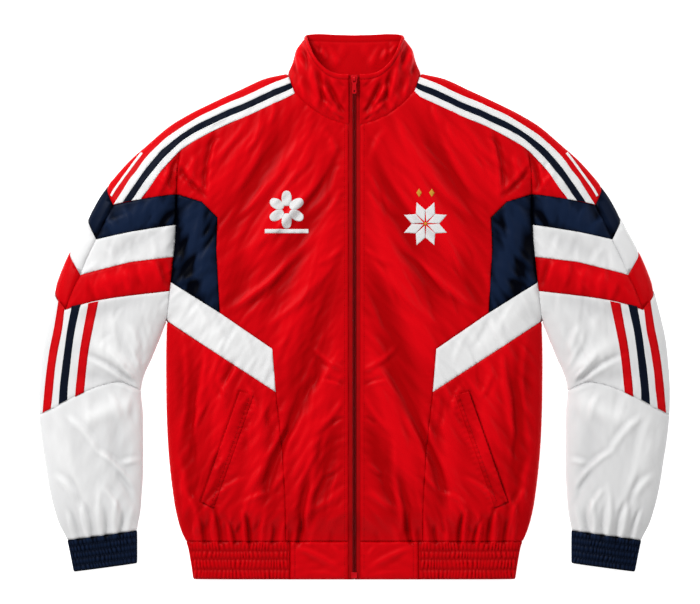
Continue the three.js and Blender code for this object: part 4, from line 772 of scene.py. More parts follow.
class BodyLayout(Layout):
    """The body, with u as the distance from the zip round to the centre back and s as y."""

    def ease(self, y: np.ndarray) -> np.ndarray:
        """Length over which the side fold eases in."""
        return EASE * clamp((UNDERARM_Y - np.asarray(y, float)) / 40)

    def fold_at(self, y: np.ndarray) -> np.ndarray:
        """Layout distance of the side fold."""
        return GROUND.body_edge(y) + self.ease(y) / 2

    def base(self, u: np.ndarray, s: np.ndarray) -> np.ndarray:
        """Points of the body without its folds."""
        edge, over = GROUND.body_edge(s), u - self.fold_at(s)
        x = edge - ease_out(-over, self.ease(s))
        puff = HEM_PUFF + (BODY_PUFF - HEM_PUFF) * smooth((s - HEM_TOP) / HEM_REACH)
        z = GROUND.height(np.abs(x), s, puff)
        reach, low = turned(np.maximum(over, 0))
        under = (over > 0) & (s <= UNDERARM_Y)
        return np.column_stack([np.where(under, edge - reach, x), s, np.where(under, low, z)])

    def relief(self, u: np.ndarray, s: np.ndarray, points: np.ndarray, side: Side) -> np.ndarray:
        """Folds of the body front, none on the turned edge, and fading into the hem."""
        x, y = np.abs(points[:, 0]), points[:, 1]
        calm = smooth(1.2 * clamp((y - HEM_TOP) / HEM_REACH))
        loose = jacket_folds(x, y, side, calm) * np.exp(np.minimum(0, y - HEM_TOP) / 5)
        return np.where(u > self.fold_at(s), 0, GROUND.freedom(x, y) * loose)

    def from_plan(self, points: Iterable[Point2]) -> list[Point2]:
        """Layout places of plan points."""
        found = []
        for x, y in points:
            edge, ease = float(GROUND.body_edge(y)), float(self.ease(y))
            found.append((float(self.fold_at(y)) - float(ease_in(edge - x, ease)), y))
        return found


class SleeveLayout(Layout):
    """The sleeve, with u as the distance from the outline fold, negative behind, and s down its length."""

    def __init__(self) -> None:
        """Prepares the look-up of plan points."""
        self.cuff = float(GROUND.lengths[CUFF_ROW])
        self.underarm = float(GROUND.lengths[UNDERARM_ROW])
        self.end = float(GROUND.lengths[-1])
        self.dense = np.linspace(0, self.end, 2400)

    def section(self, s: np.ndarray) -> dict[str, np.ndarray]:
        """Ends, direction, width, easing and layout width of sections of the sleeve."""
        at = {name: curve(s) for name, curve in GROUND.station.items()}
        dx, dy = at["in_x"] - at["out_x"], at["in_y"] - at["out_y"]
        width = np.hypot(dx, dy)
        ease = EASE * clamp((np.asarray(s, float) - self.underarm) / 40)
        at.update(width=width, dx=dx / width, dy=dy / width, ease=ease, span=width + (EASE + ease) / 2)
        return at

    def base(self, u: np.ndarray, s: np.ndarray) -> np.ndarray:
        """Points of the sleeve without its folds."""
        at = self.section(s)
        near, low_near = turned(np.maximum(-u, 0))
        far, low_far = turned(np.maximum(u - at["span"], 0))
        eased = np.where(
            u < EASE, ease_out(u, EASE), at["width"] - ease_out(at["span"] - u, at["ease"])
        )
        closed = s >= self.underarm
        reach = np.where(u < 0, near, np.where((u > at["span"]) & closed, at["width"] - far, eased))
        x, y = at["out_x"] + at["dx"] * reach, at["out_y"] + at["dy"] * reach
        z = GROUND.height(x, y, at["puff"])
        z = np.where(u < 0, low_near, np.where((u > at["span"]) & closed, low_far, z))
        return np.column_stack([x, y, z])

    def relief(self, u: np.ndarray, s: np.ndarray, points: np.ndarray, side: Side) -> np.ndarray:
        """Folds of the sleeve's upper side, fading into the cuff."""
        x, y = points[:, 0], points[:, 1]
        calm = smooth((self.cuff - s) / CUFF_REACH)
        loose = jacket_folds(x, y, side, calm) * np.exp(np.minimum(0, self.cuff - s) / 5)
        outside = (u < 0) | (u > self.section(s)["span"])
        return np.where(outside, 0, GROUND.freedom(x, y) * loose)

    def from_plan(self, points: Iterable[Point2]) -> list[Point2]:
        """Layout places of plan points, each on the section that passes through it."""
        at = self.section(self.dense)
        found = []
        for x, y in points:
            off = at["dx"] * (y - at["out_y"]) - at["dy"] * (x - at["out_x"])
            crossing = np.nonzero(np.sign(off[:-1]) != np.sign(off[1:]))[0]
            plan = at["dx"] * (x - at["out_x"]) + at["dy"] * (y - at["out_y"])
            miss = np.maximum(0, np.maximum(-plan, plan - at["width"]))[crossing]
            s = 0.0
            if len(crossing):
                i = int(crossing[np.argmin(miss)])
                t = float(off[i] / (off[i] - off[i + 1]))
                s = float(self.dense[i] * (1 - t) + self.dense[i + 1] * t)
            here = self.section(np.array([s]))
            reach = float(here["dx"][0] * (x - here["out_x"][0]) + here["dy"][0] * (y - here["out_y"][0]))
            width, span, ease = (float(here[name][0]) for name in ("width", "span", "ease"))
            u = float(ease_in(reach, EASE)) if reach < EASE else span - float(ease_in(width - reach, ease))
            found.append((u, s))
        return found

    def inner_end(self, s: float) -> Point2:
        """Inner end of the upper side: the armhole seam, or the turned edge below the arm."""
        span = float(self.section(np.array([s]))["span"][0])
        return span + (FOLD_TURN if s > self.underarm + 0.4 else 0.0), s

    def back_end(self, s: float) -> Point2:
        """Inner end of the side that lies on the table."""
        width = float(self.section(np.array([s]))["width"][0])
        short = FOLD_REACH if s > self.underarm + 0.4 else 0.0
        return -(FOLD_TURN + width - FOLD_REACH - short), s


BODY_LAYOUT = BodyLayout()
SLEEVE_LAYOUT = SleeveLayout()


class Socket:
    """A shader value whose arithmetic adds Math nodes."""

    def __init__(self, shader: "Shader", output: bpy.types.NodeSocket) -> None:
        """Wraps an output of a shader's node."""
        self.shader = shader
        self.output = output

    def _math(self, operation: str, first: "Socket | float", second: "Socket | float") -> "Socket":
        """Adds one Math node."""
        return self.shader.add("ShaderNodeMath", {"operation": operation}, {0: first, 1: second})

    def __add__(self, other: "Socket | float") -> "Socket":
        """Sum."""
        return self._math("ADD", self, other)

    __radd__ = __add__

    def __mul__(self, other: "Socket | float") -> "Socket":
        """Product."""
        return self._math("MULTIPLY", self, other)

    __rmul__ = __mul__

    def __sub__(self, other: "Socket | float") -> "Socket":
        """Difference."""
        return self._math("SUBTRACT", self, other)

    def __rsub__(self, other: "Socket | float") -> "Socket":
        """Difference from a number."""
        return self._math("SUBTRACT", other, self)


class Shader:
    """Node tree of one material, with one way to add a node."""

    def __init__(self, name: str) -> None:
        """Makes an empty material."""
        self.material = bpy.data.materials.new(name)
        self.material.use_nodes = True
        self.tree = self.material.node_tree
        self.tree.nodes.clear()

    def add(
        self,
        kind: str,
        settings: dict[str, object] | None = None,
        inputs: dict[str | int, object] | None = None,
        output: str | int = 0,
    ) -> Socket:
        """Adds a node.

        Args:
            kind: the node's type.
            settings: its properties; stops are a ramp's places and colours.
            inputs: values or sockets for its inputs.
            output: the output that is returned.

        Returns:
            The wanted output.
        """
        node = self.tree.nodes.new(kind)
        for key, value in (settings or {}).items():
            if key == "stops":
                elements = node.color_ramp.elements
                while len(elements) < len(value):
                    elements.new(0.5)
                for element, (place, colour) in zip(elements, value):
                    element.position = place
                    element.color = (*colour, 1)
            else:
                setattr(node, key, value)
        for key, value in (inputs or {}).items():
            if isinstance(value, Socket):
                self.tree.links.new(value.output, node.inputs[key])
            else:
                node.inputs[key].default_value = value
        return Socket(self, node.outputs[output] if len(node.outputs) else None)

    def mix(self, share: Socket | float, low: Colour | Socket, high: Colour | Socket) -> Socket:
        """Mix of two colours."""
        first, second = (
            colour if isinstance(colour, Socket) else (*colour, 1) for colour in (low, high)
        )
        return self.add("ShaderNodeMix", {"data_type": "RGBA"}, {0: share, 6: first, 7: second}, 2)

    def noise(self, where: Socket, scale: float, detail: float = 2, kind: str = "FBM") -> Socket:
        """Noise at a place."""
        return self.add(
            "ShaderNodeTexNoise",
            {"noise_type": kind},
            {"Vector": where, "Scale": scale, "Detail": detail, "Roughness": 0.55},
        )

    def bump(self, height: Socket) -> Socket:
        """Normal from a height in metres."""
        return self.add("ShaderNodeBump", {}, {"Strength": 1.0, "Distance": 1.0, "Height": height})

    def finish(self, inputs: dict[str, object]) -> bpy.types.Material:
        """Closes the material with its surface shader."""
        surface = self.add("ShaderNodeBsdfPrincipled", {}, inputs)
        self.add("ShaderNodeOutputMaterial", {}, {"Surface": surface})
        return self.material


def cloth_place(shader: Shader, lean: float, stretch: tuple[float, float]) -> Socket:
    """Place on the cloth's own layout, turned and stretched along its creases."""
    uv = shader.add("ShaderNodeUVMap", {"uv_map": "cloth"})
    turned_uv = shader.add("ShaderNodeMapping", {}, {"Vector": uv, "Rotation": (0, 0, lean)})
    return shader.add("ShaderNodeMapping", {}, {"Vector": turned_uv, "Scale": (*stretch, 1)})


@dataclass(frozen=True)
class SatinKnit:
    """Warp-knit polyester with a satin face: fine wales, soft creases and a broad shine, with painted shade in its fold
    hollows and painted highlight on its fold ridges.
    """

    name: str
    slot: str
    face: Colour
    shade: Colour
    roughness: float = 0.38
    gloss: float = 0.035
    # Weight of the painted shade in fold hollows and the painted highlight on fold ridges, taken from the relief layer.
    cavity: float = 0.24
    lean: float = -0.6
    crease: float = 0.00045

    def material(self) -> bpy.types.Material:
        """Builds the cloth's material."""
        shader = Shader(self.name)
        along = cloth_place(shader, self.lean, (1.0, 0.17))
        plain = cloth_place(shader, 0.0, (1.0, 1.0))
        broad = shader.noise(along, 26, 3)
        sharp = shader.noise(along, 48, 4, "RIDGED_MULTIFRACTAL")
        wales = shader.add(
            "ShaderNodeTexWave",
            {"wave_type": "BANDS", "bands_direction": "X"},
            {"Vector": plain, "Scale": 210.0, "Distortion": 0.6, "Detail": 1.0},
            1,
        )
        grain = shader.noise(plain, 1500, 2)
        height = (
            broad * self.crease * 2.4
            + sharp * self.crease * 0.9
            + wales * 0.00001
            + grain * 0.000012
        )
        patches = shader.noise(plain, 7, 2)
        # Painted shade and highlight: the relief layer's fold height darkens the colour in hollows and lightens it on
        # ridges. The broad streak noise also sets the bump, so its hollows are painted darker too. Patches and grain
        # are random tone.
        relief = shader.add("ShaderNodeAttribute", {"attribute_name": "relief"}, {}, "Fac")
        tone_and_painted_shade = broad * 0.5 + patches * 0.4 + grain * 0.2 + relief * self.cavity
        return shader.finish(
            {
                "Base Color": shader.mix(tone_and_painted_shade, self.shade, self.face),
                "Roughness": self.roughness + grain * 0.12 - patches * 0.06,
                "Specular IOR Level": self.gloss,
                "Normal": shader.bump(height),
            }
        )


@dataclass(frozen=True)
class WovenTape:
    """Flat woven tape with a fine rib across its length."""

    name: str
    slot: str
    face: Colour
    shade: Colour
    rib: float = 0.9
    roughness: float = 0.5

    def material(self) -> bpy.types.Material:
        """Builds the tape's material."""
        shader = Shader(self.name)
        plain = cloth_place(shader, 0.0, (1.0, 1.0))
        ribs = shader.add(
            "ShaderNodeTexWave",
            {"wave_type": "BANDS", "bands_direction": "Y"},
            {"Vector": plain, "Scale": 160.0 / self.rib, "Distortion": 0.4},
            1,
        )
        slack = shader.noise(cloth_place(shader, 0.0, (0.5, 1.0)), 60, 3)
        grain = shader.noise(plain, 1400, 2)
        return shader.finish(
            {
                "Base Color": shader.mix(slack * 0.9 + grain * 0.2, self.shade, self.face),
                "Roughness": self.roughness + grain * 0.1,
                "Specular IOR Level": 0.06,
                "Normal": shader.bump(ribs * 0.00002 + slack * 0.0007 + grain * 0.00002),
            }
        )


@dataclass(frozen=True)
class Thread:
    """Twisted sewing or embroidery thread."""

    name: str
    slot: str
    face: Colour
    shade: Colour

    def material(self) -> bpy.types.Material:
        """Builds the thread's material."""
        shader = Shader(self.name)
        where = shader.add("ShaderNodeTexCoord", {}, {}, "Object")
        twist = shader.add(
            "ShaderNodeTexWave",
            {"wave_type": "BANDS", "bands_direction": "DIAGONAL"},
            {"Vector": where, "Scale": 420.0, "Distortion": 2.0, "Detail": 1.0},
            1,
        )
        fuzz = shader.noise(where, 900, 3)
        return shader.finish(
            {
                "Base Color": shader.mix(twist * 0.6 + fuzz * 0.4, self.shade, self.face),
                "Roughness": 0.42 + fuzz * 0.15,
                "Specular IOR Level": 0.1,
                "Normal": shader.bump(twist * 0.00006 + fuzz * 0.00002),
            }
        )


@dataclass(frozen=True)
class HardGloss:
    """Painted metal or moulded nylon, with worn and slightly uneven gloss."""

    name: str
    slot: str
    face: Colour
    worn: Colour
    metallic: float = 0.0
    roughness: float = 0.28

    def material(self) -> bpy.types.Material:
        """Builds the hard part's material."""
        shader = Shader(self.name)
        where = shader.add("ShaderNodeTexCoord", {}, {}, "Object")
        haze = shader.noise(where, 240, 4)
        specks = shader.noise(where, 1300, 2)
        return shader.finish(
            {
                "Base Color": shader.mix(haze * 0.7 + specks * 0.2, self.worn, self.face),
                "Roughness": self.roughness + haze * 0.14,
                "Metallic": self.metallic,
                "Specular IOR Level": 0.15,
                "Coat Weight": 0.05,
                "Normal": shader.bump(haze * 0.00004 + specks * 0.000015),
            }
        )


# Each satin's fold-shade weight sets how much painted shade its fold hollows get and how much painted highlight its
# ridges get. Navy's weight is the strongest.
RED = SatinKnit("red_satin", "red_cloth", (0.74, 0.0014, 0.0055), (0.40, 0.0002, 0.0016))
RED_SLEEVE = SatinKnit("red_satin_sleeve", "red_cloth", RED.face, RED.shade, lean=-0.4)
RED_ELASTIC = SatinKnit("red_elastic", "red_cloth", (0.66, 0.001, 0.004), (0.30, 0.0002, 0.0012), cavity=0.34, lean=0.0)
WHITE = SatinKnit(
    "white_satin", "white_cloth", (0.89, 0.89, 0.89), (0.70, 0.70, 0.705), roughness=0.45, lean=-0.4, cavity=0.2
)
WHITE_SLEEVE = SatinKnit(
    "white_satin_sleeve", "white_cloth", WHITE.face, WHITE.shade, roughness=0.45, lean=0.3, cavity=0.2
)
NAVY = SatinKnit(
    "navy_satin", "navy_cloth", (0.0072, 0.0155, 0.043), (0.0004, 0.0008, 0.003), roughness=0.35, gloss=0.03, cavity=0.4, lean=-0.5
)
WHITE_TAPE = WovenTape("white_tape", "white_cloth", (0.86, 0.86, 0.86), (0.76, 0.76, 0.76))
NAVY_TAPE = WovenTape("navy_tape", "navy_cloth", (0.0034, 0.0072, 0.02), (0.001, 0.002, 0.006))
RED_TAPE = WovenTape("red_tape", "red_cloth", (0.70, 0.0014, 0.0055), (0.50, 0.0004, 0.002))
ZIP_TAPE = WovenTape("zip_tape", "zip_tape", (0.44, 0.001, 0.003), (0.28, 0.0003, 0.001), rib=1.4, roughness=0.6)
COIL = HardGloss("zip_coil", "zip_tape", (0.24, 0.001, 0.0025), (0.12, 0.0005, 0.001), roughness=0.3)
PAINTED = HardGloss("zip_painted_metal", "zip_metal", (0.74, 0.003, 0.010), (0.50, 0.001, 0.005))
RED_THREAD = Thread("red_thread", "red_cloth", (0.44, 0.0006, 0.002), (0.24, 0.0002, 0.001))
WHITE_THREAD = Thread("white_thread", "white_cloth", (0.86, 0.86, 0.86), (0.66, 0.66, 0.66))
NAVY_THREAD = Thread("navy_thread", "navy_cloth", (0.01, 0.022, 0.055), (0.004, 0.009, 0.02))
GOLD_THREAD = Thread("gold_thread", "zip_metal", (0.80, 0.42, 0.05), (0.45, 0.2, 0.02))
Finish = SatinKnit | WovenTape | Thread | HardGloss


class Wardrobe:
    """Keeps one material for each finish."""

    def __init__(self) -> None:
        """Starts empty."""
        self.made: dict[str, bpy.types.Material] = {}

    def of(self, finish: Finish) -> bpy.types.Material:
        """Material of a finish, made once."""
        if finish.name not in self.made:
            self.made[finish.name] = finish.material()
        return self.made[finish.name]


WARDROBE = Wardrobe()


def finish_object(name: str, mesh: bpy.types.Mesh, finish: Finish, nodes: Sequence[str] = ()) -> bpy.types.Object:
    """Makes a piece of a mesh, dresses it and hangs it on the jacket's body.

    Args:
        name: the piece's name.
        mesh: its mesh, in metres.
        finish: its finish.
        nodes: CAD nodes that it stands for.

    Returns:
        The new object.
    """
    piece = bpy.data.objects.new(name, mesh)
    bpy.context.scene.collection.objects.link(piece)
    mesh.materials.clear()
    mesh.materials.append(WARDROBE.of(finish))
    mesh.polygons.foreach_set("use_smooth", np.ones(len(mesh.polygons), bool))
    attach(piece, BODY)
    if nodes:
        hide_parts(*nodes)
    return piece


def mesh_from(shape: bmesh.types.BMesh, name: str) -> bpy.types.Mesh:
    """Turns a bmesh in millimetres into a mesh in metres."""
    bmesh.ops.scale(shape, vec=(MM, MM, MM), verts=shape.verts)
    mesh = bpy.data.meshes.new(name)
    shape.to_mesh(mesh)
    shape.free()
    return mesh


def lines_between(low: float, high: float, step: float) -> np.ndarray:
    """Even cutting lines strictly between two limits."""
    count = max(1, round((high - low) / step))
    return np.linspace(low, high, count + 1)[1:-1]


def smallest_box(points: np.ndarray) -> Point2:
    """Sides of the smallest rectangle round some points, over a half turn of angles."""
    best: Point2 = (1.0, 1.0)
    least = math.inf
    for angle in np.radians(np.arange(0, 90, 2)):
        turn = np.array([[math.cos(angle), -math.sin(angle)], [math.sin(angle), math.cos(angle)]])
        sides = np.ptp(points @ turn, axis=0)
        if sides[0] * sides[1] < least:
            least, best = float(sides[0] * sides[1]), (float(sides[0]), float(sides[1]))
    return best


def polygon_area(points: np.ndarray) -> float:
    """Area inside an outline."""
    x, y = points[:, 0], points[:, 1]
    return abs(float(np.dot(x, np.roll(y, -1)) - np.dot(y, np.roll(x, -1)))) / 2


@dataclass
class ClothPiece:
    """One cut piece of cloth on a layout: its pattern, its seams and its thickness."""

    name: str
    layout: Layout
    outline: list[Point2]
    finish: Finish
    step: tuple[float, float] = (3.0, 3.0)
    wall: float = PANEL_WALL
    lift: float = 0.0
    seam: float = SEAM_DEPTH
    pucker: float = 0.35
    extra: Callable[[np.ndarray, np.ndarray, Side], np.ndarray] | None = None
    u_lines: Sequence[float] | None = None
    s_lines: Sequence[float] | None = None
    rests_on: Sequence[str] = ("back",)
    nodes: Sequence[str] | None = None
    mirrored: bool = False

    def pattern(self) -> bmesh.types.BMesh:
        """Outline cut into small faces by rows and columns."""
        shape = bmesh.new()
        points = np.asarray(self.outline)
        x, y = points[:, 0], points[:, 1]
        turning = float(np.dot(x, np.roll(y, -1)) - np.dot(y, np.roll(x, -1)))
        corners = [shape.verts.new((u, s, 0)) for u, s in points[:: 1 if turning > 0 else -1]]
        shape.faces.new(corners)
        low, high = points.min(axis=0), points.max(axis=0)
        rows = lines_between(low[1], high[1], self.step[1]) if self.s_lines is None else self.s_lines
        columns = lines_between(low[0], high[0], self.step[0]) if self.u_lines is None else self.u_lines
        for at, places in ((1, rows), (0, columns)):
            for place in places:
                if not low[at] < place < high[at]:
                    continue
                line = Vector((place, 0, 0)) if at == 0 else Vector((0, place, 0))
                bmesh.ops.bisect_plane(
                    shape,
                    geom=[*shape.verts, *shape.edges, *shape.faces],
                    dist=0.02,
                    plane_co=line,
                    plane_no=line.normalized() if line.length else Vector((1, 0, 0)),
                )
        bmesh.ops.remove_doubles(shape, verts=shape.verts, dist=0.12)
        return shape

    def height(self, u: np.ndarray, s: np.ndarray, side: Side) -> np.ndarray:
        """Lift, seam dip, puckers and any relief of the piece's own."""
        edge = Chain(self.outline, closed=True)
        away, along = edge.nearest(u, s)
        dip = -self.seam * np.exp(-((away / SEAM_WIDTH) ** 2))
        wave = ripples(along, away * 0.3, 71 if side is Side.LEFT else 83, 10, 0.0, 6)
        pucker = self.pucker * wave * np.exp(-away / 8) * smooth(away / 2.5)
        own = self.extra(u, s, side) if self.extra else 0.0
        return self.lift + dip + pucker + own

    def build(self, side: Side = Side.LEFT) -> bpy.types.Object:
        """Makes the piece on one side, or whole if it is mirrored across the middle.

        Args:
            side: wearer's side.

        Returns:
            The finished piece.
        """
        shape = self.pattern()
        name = self.name if self.mirrored else f"{self.name}_{side.word}"
        flat = np.array([vert.co.xy for vert in shape.verts])
        u, s = flat[:, 0], flat[:, 1]
        lying = np.minimum(self.height(u, s, side), np.where(self.on_table(u, s), self.lift, np.inf))
        points, height = self.layout.raised(u, s, side, lying)
        points[:, 2] = np.maximum(points[:, 2], 0.02)
        # Each point's fold height goes into the relief layer. From it, the satin colour gets painted shade in hollows
        # and painted highlight on ridges.
        relief = shape.verts.layers.float.new("relief")
        # Painted armhole shade is taken off the stored relief only. The colour darkens beside the armhole seam while
        # the cloth keeps its shape.
        painted_armhole_shade = GROUND.armhole_shade(np.abs(points[:, 0]), points[:, 1])
        for vert, point, out in zip(shape.verts, points, height - self.lift - painted_armhole_shade):
            vert.co = point
            vert[relief] = out
        if side is Side.RIGHT:
            bmesh.ops.reverse_faces(shape, faces=shape.faces)
        self.add_uv(shape, flat)
        if self.mirrored:
            self.mirror(shape)
        mesh = mesh_from(shape, name)
        nodes = self.nodes if self.nodes is not None else (name,)
        piece = finish_object(f"cloth_{name}", mesh, self.finish, nodes)
        wall = piece.modifiers.new("wall", "SOLIDIFY")
        wall.thickness = self.wall * MM
        wall.offset = -1
        wall.use_even_offset = False
        share = 2 if self.mirrored else 1
        cut = np.asarray(self.outline)
        width, length = sorted(max(edge, NARROWEST) for edge in smallest_box(cut))
        length * share * MM
        list(self.rests_on)
        max(polygon_area(cut), 0.301 * width * length) * share * MM * MM
        LOG.info("%s: %d faces", piece.name, len(mesh.polygons))
        return piece

    def on_table(self, u: np.ndarray, s: np.ndarray) -> np.ndarray:
        """Whether each place lies on the table, where nothing may stand out downwards."""
        return self.layout.base(u, s)[:, 2] < 1.0

    @staticmethod
    def add_uv(shape: bmesh.types.BMesh, flat: np.ndarray) -> None:
        """Stores the layout, in metres, as the piece's own map."""
        layer = shape.loops.layers.uv.new("cloth")
        shape.verts.index_update()
        for face in shape.faces:
            for loop in face.loops:
                loop[layer].uv = flat[loop.vert.index] * MM

    @staticmethod
    def mirror(shape: bmesh.types.BMesh) -> None:
        """Adds the other half and closes it on the middle plane."""
        made = bmesh.ops.duplicate(shape, geom=[*shape.verts, *shape.edges, *shape.faces])["geom"]
        verts = [item for item in made if isinstance(item, bmesh.types.BMVert)]
        faces = [item for item in made if isinstance(item, bmesh.types.BMFace)]
        bmesh.ops.scale(shape, vec=(-1, 1, 1), verts=verts)
        bmesh.ops.reverse_faces(shape, faces=faces)
        middle = [vert for vert in shape.verts if abs(vert.co.x) < 0.6]
        for vert in middle:
            vert.co.x = 0
        bmesh.ops.remove_doubles(shape, verts=middle, dist=0.05)


class Stitching:
    """Rows of stitches of one thread, each a small rounded bead laid along a seam."""

    def __init__(self, name: str, finish: Thread) -> None:
        """Starts with no rows.

        Args:
            name: name of the finished piece.
            finish: the thread.
        """
        self.name = name
        self.finish = finish
        self.places: list[Matrix] = []

    def row(self, points: np.ndarray, pitch: float = STITCH_PITCH, length: float = STITCH) -> None:
        """Lays stitches along a dense run of points, in millimetres."""
        steps = np.linalg.norm(np.diff(points, axis=0), axis=1)
        starts = np.concatenate([[0], np.cumsum(steps)])
        for i in range(int(starts[-1] / pitch)):
            ends = [
                Vector([np.interp(at, starts, points[:, axis]) for axis in range(3)])
                for at in (i * pitch, i * pitch + length)
            ]
            along = ends[1] - ends[0]
            if along.length < length * 0.4:
                continue
            turn = along.to_track_quat("X", "Z").to_matrix().to_4x4()
            size = Matrix.Diagonal((along.length / 2, 0.34, 0.28, 1))
            self.places.append(Matrix.Translation((ends[0] + ends[1]) / 2) @ turn @ size)

    def on_layout(self, layout: Layout, run: Sequence[Point2], side: Side, lift: float, **sizes: float) -> None:
        """Lays a row along a run of layout points, on the folded cloth."""
        chain = Chain(run)
        dense = np.linspace(0, chain.starts[-1], max(8, int(chain.starts[-1] / 1.6)))
        u = np.interp(dense, chain.starts, chain.points[:, 0])
        s = np.interp(dense, chain.starts, chain.points[:, 1])
        self.row(layout.place(u, s, side, lift), **sizes)

    def build(self) -> bpy.types.Object:
        """Makes the stitches one piece."""
        bead = bmesh.new()
        bmesh.ops.create_icosphere(bead, subdivisions=1, radius=1.0)
        return finish_object(self.name, scattered(bead, self.places, self.name), self.finish)


def inside_run(outline: Sequence[Point2], distance: float) -> list[Point2]:
    """Outline moved inwards, closed, for a row of stitches."""
    points = np.asarray(outline, float)
    x, y = points[:, 0], points[:, 1]
    if np.dot(x, np.roll(y, -1)) < np.dot(y, np.roll(x, -1)):
        points = points[::-1]
    before, after = np.roll(points, 1, axis=0), np.roll(points, -1, axis=0)
    first = (points - before) / np.linalg.norm(points - before, axis=1, keepdims=True)
    second = (after - points) / np.linalg.norm(after - points, axis=1, keepdims=True)
    left = np.column_stack([-first[:, 1] - second[:, 1], first[:, 0] + second[:, 0]])
    left /= np.maximum(np.linalg.norm(left, axis=1, keepdims=True), 1e-9)
    reach = distance / np.maximum(0.35, left[:, 1] * first[:, 0] - left[:, 0] * first[:, 1])
    moved = points + left * reach[:, None]
    return [tuple(point) for point in [*moved, moved[0]]]


def smooth_run(points: Sequence[Point2], step: float = 5.0) -> list[Point2]:
    """Run with smooth bends through some points."""
    chain = Chain(points)
    dense = np.linspace(0, chain.starts[-1], max(3, int(chain.starts[-1] / step) + 1))
    x, y = (Curve(chain.starts, chain.points[:, axis])(dense) for axis in (0, 1))
    return list(zip(x.tolist(), y.tolist()))


def make_streaks(side: Side) -> np.ndarray:
    """Thin uneven streaks down the front and along the sleeve, seeded for each side.

    Args:
        side: wearer's side.

    Returns:
        Rows like those of the placed creases.
    """
    draw = np.random.default_rng(101 if side is Side.LEFT else 211)
    rows = []
    for _ in range(BODY_STREAKS):
        x, y = draw.uniform(22, 245), draw.uniform(-325, 250)
        angle = math.radians(-56 - 14 * float(smooth((60 - y) / 200)) + draw.normal(0, 9))
        length, high = draw.uniform(34, 105), draw.choice([-1, 1]) * draw.uniform(0.5, 1.25)
        rows.append((x, y, x + length * math.cos(angle), y + length * math.sin(angle), draw.uniform(2.3, 4.2), high))
    for _ in range(SLEEVE_STREAKS):
        at = {name: float(curve(draw_s)) for draw_s in [draw.uniform(70, 500)] for name, curve in GROUND.station.items()}
        share = draw.uniform(0.12, 0.88)
        x = at["out_x"] + (at["in_x"] - at["out_x"]) * share
        y = at["out_y"] + (at["in_y"] - at["out_y"]) * share
        across = math.atan2(at["in_y"] - at["out_y"], at["in_x"] - at["out_x"])
        angle = across + math.pi / 2 + draw.normal(0.05, 0.3)
        length, high = draw.uniform(22, 62), draw.choice([-1, 1]) * draw.uniform(0.35, 0.85)
        rows.append((x, y, x + length * math.cos(angle), y + length * math.sin(angle), draw.uniform(2.3, 3.8), high))
    return np.array(rows, dtype=FOLD_COLUMNS)


BODY_STREAKS = 84
SLEEVE_STREAKS = 46
STREAKS = {side: make_streaks(side) for side in Side}


def jacket_folds(x: np.ndarray, y: np.ndarray, side: Side, calm: np.ndarray) -> np.ndarray:
    """Folds of the body and sleeves together, so that they run on over the seams.

    Args:
        x: distances from the zip.
        y: places towards the collar.
        side: wearer's side.
        calm: share left near a gathered band, 1 elsewhere.

    Returns:
        Heights to add along the cloth's outward direction.
    """
    seed = 11 if side is Side.LEFT else 23
    sleeve = smooth((x - 245) / 40)
    large = crease_height(LARGE_FOLDS, x, y)
    sharp = 1.35 * (crease_height(BODY_CREASES, x, y, 0.5) + crease_height(SLEEVE_CREASES, x, y, 0.5))
    sharp = sharp + crease_height(STREAKS[side], x, y, 0.6)
    gathers = 1.25 * crease_height(GATHERS, x, y, 0.25)
    body = 0.9 * ripples(x, y, seed, 22, 0.55) + 0.36 * ripples(x, y, seed + 1, 9, 0.7)
    arm = 0.5 * ripples(x, y, seed + 3, 20, 0.35) + 0.24 * ripples(x, y, seed + 4, 9, 0.1)
    beside_zip = 0.9 * np.exp(-np.maximum(0, x - ZIP_HALF) / 15) * ripples(x, y, seed + 2, 13, 1.25)
    fine = body * (1 - sleeve) + arm * sleeve + beside_zip
    return (large + fine) * calm + sharp * smooth(calm * 2.5) + gathers


def shirring(
    across: np.ndarray, down: np.ndarray, rows: Sequence[float], rib: float, free: np.ndarray
) -> np.ndarray:
    """Gathered elastic band: uneven ribs that are drawn in along each row of stitches.

    Args:
        across: places along the band.
        down: places across the band.
        rows: where the rows of stitches run, on down.
        rib: usual distance between ribs.
        free: share of the ribs, 0 to 1.

    Returns:
        Heights to add.
    """
    ordered = np.sort(np.asarray(rows, float))
    cell = np.clip(np.searchsorted(ordered, down), 1, len(ordered) - 1)
    low, high = ordered[cell - 1], ordered[cell]
    near = np.minimum(down - low, high - down)
    swell = 1 - np.exp(-((np.maximum(near, 0) / 2.6) ** 2))
    wobble = 1.7 * np.sin(across / 13 + cell * 2.1) + 1.1 * np.sin(across / 5.3 + cell * 4.7)
    wobble = wobble + 0.16 * (down - low) * np.sin(across / 19 + cell * 3.3)
    uneven = 0.72 + 0.28 * np.sin(across / 9.1 + cell * 1.3)
    wave = np.abs(np.cos(math.pi * (across + wobble) / rib)) ** 0.65
    ribs = (2 * wave - 1.35) * uneven * (0.3 + 0.9 * swell)
    return (1.55 * ribs + 1.1 * swell - 0.9) * free


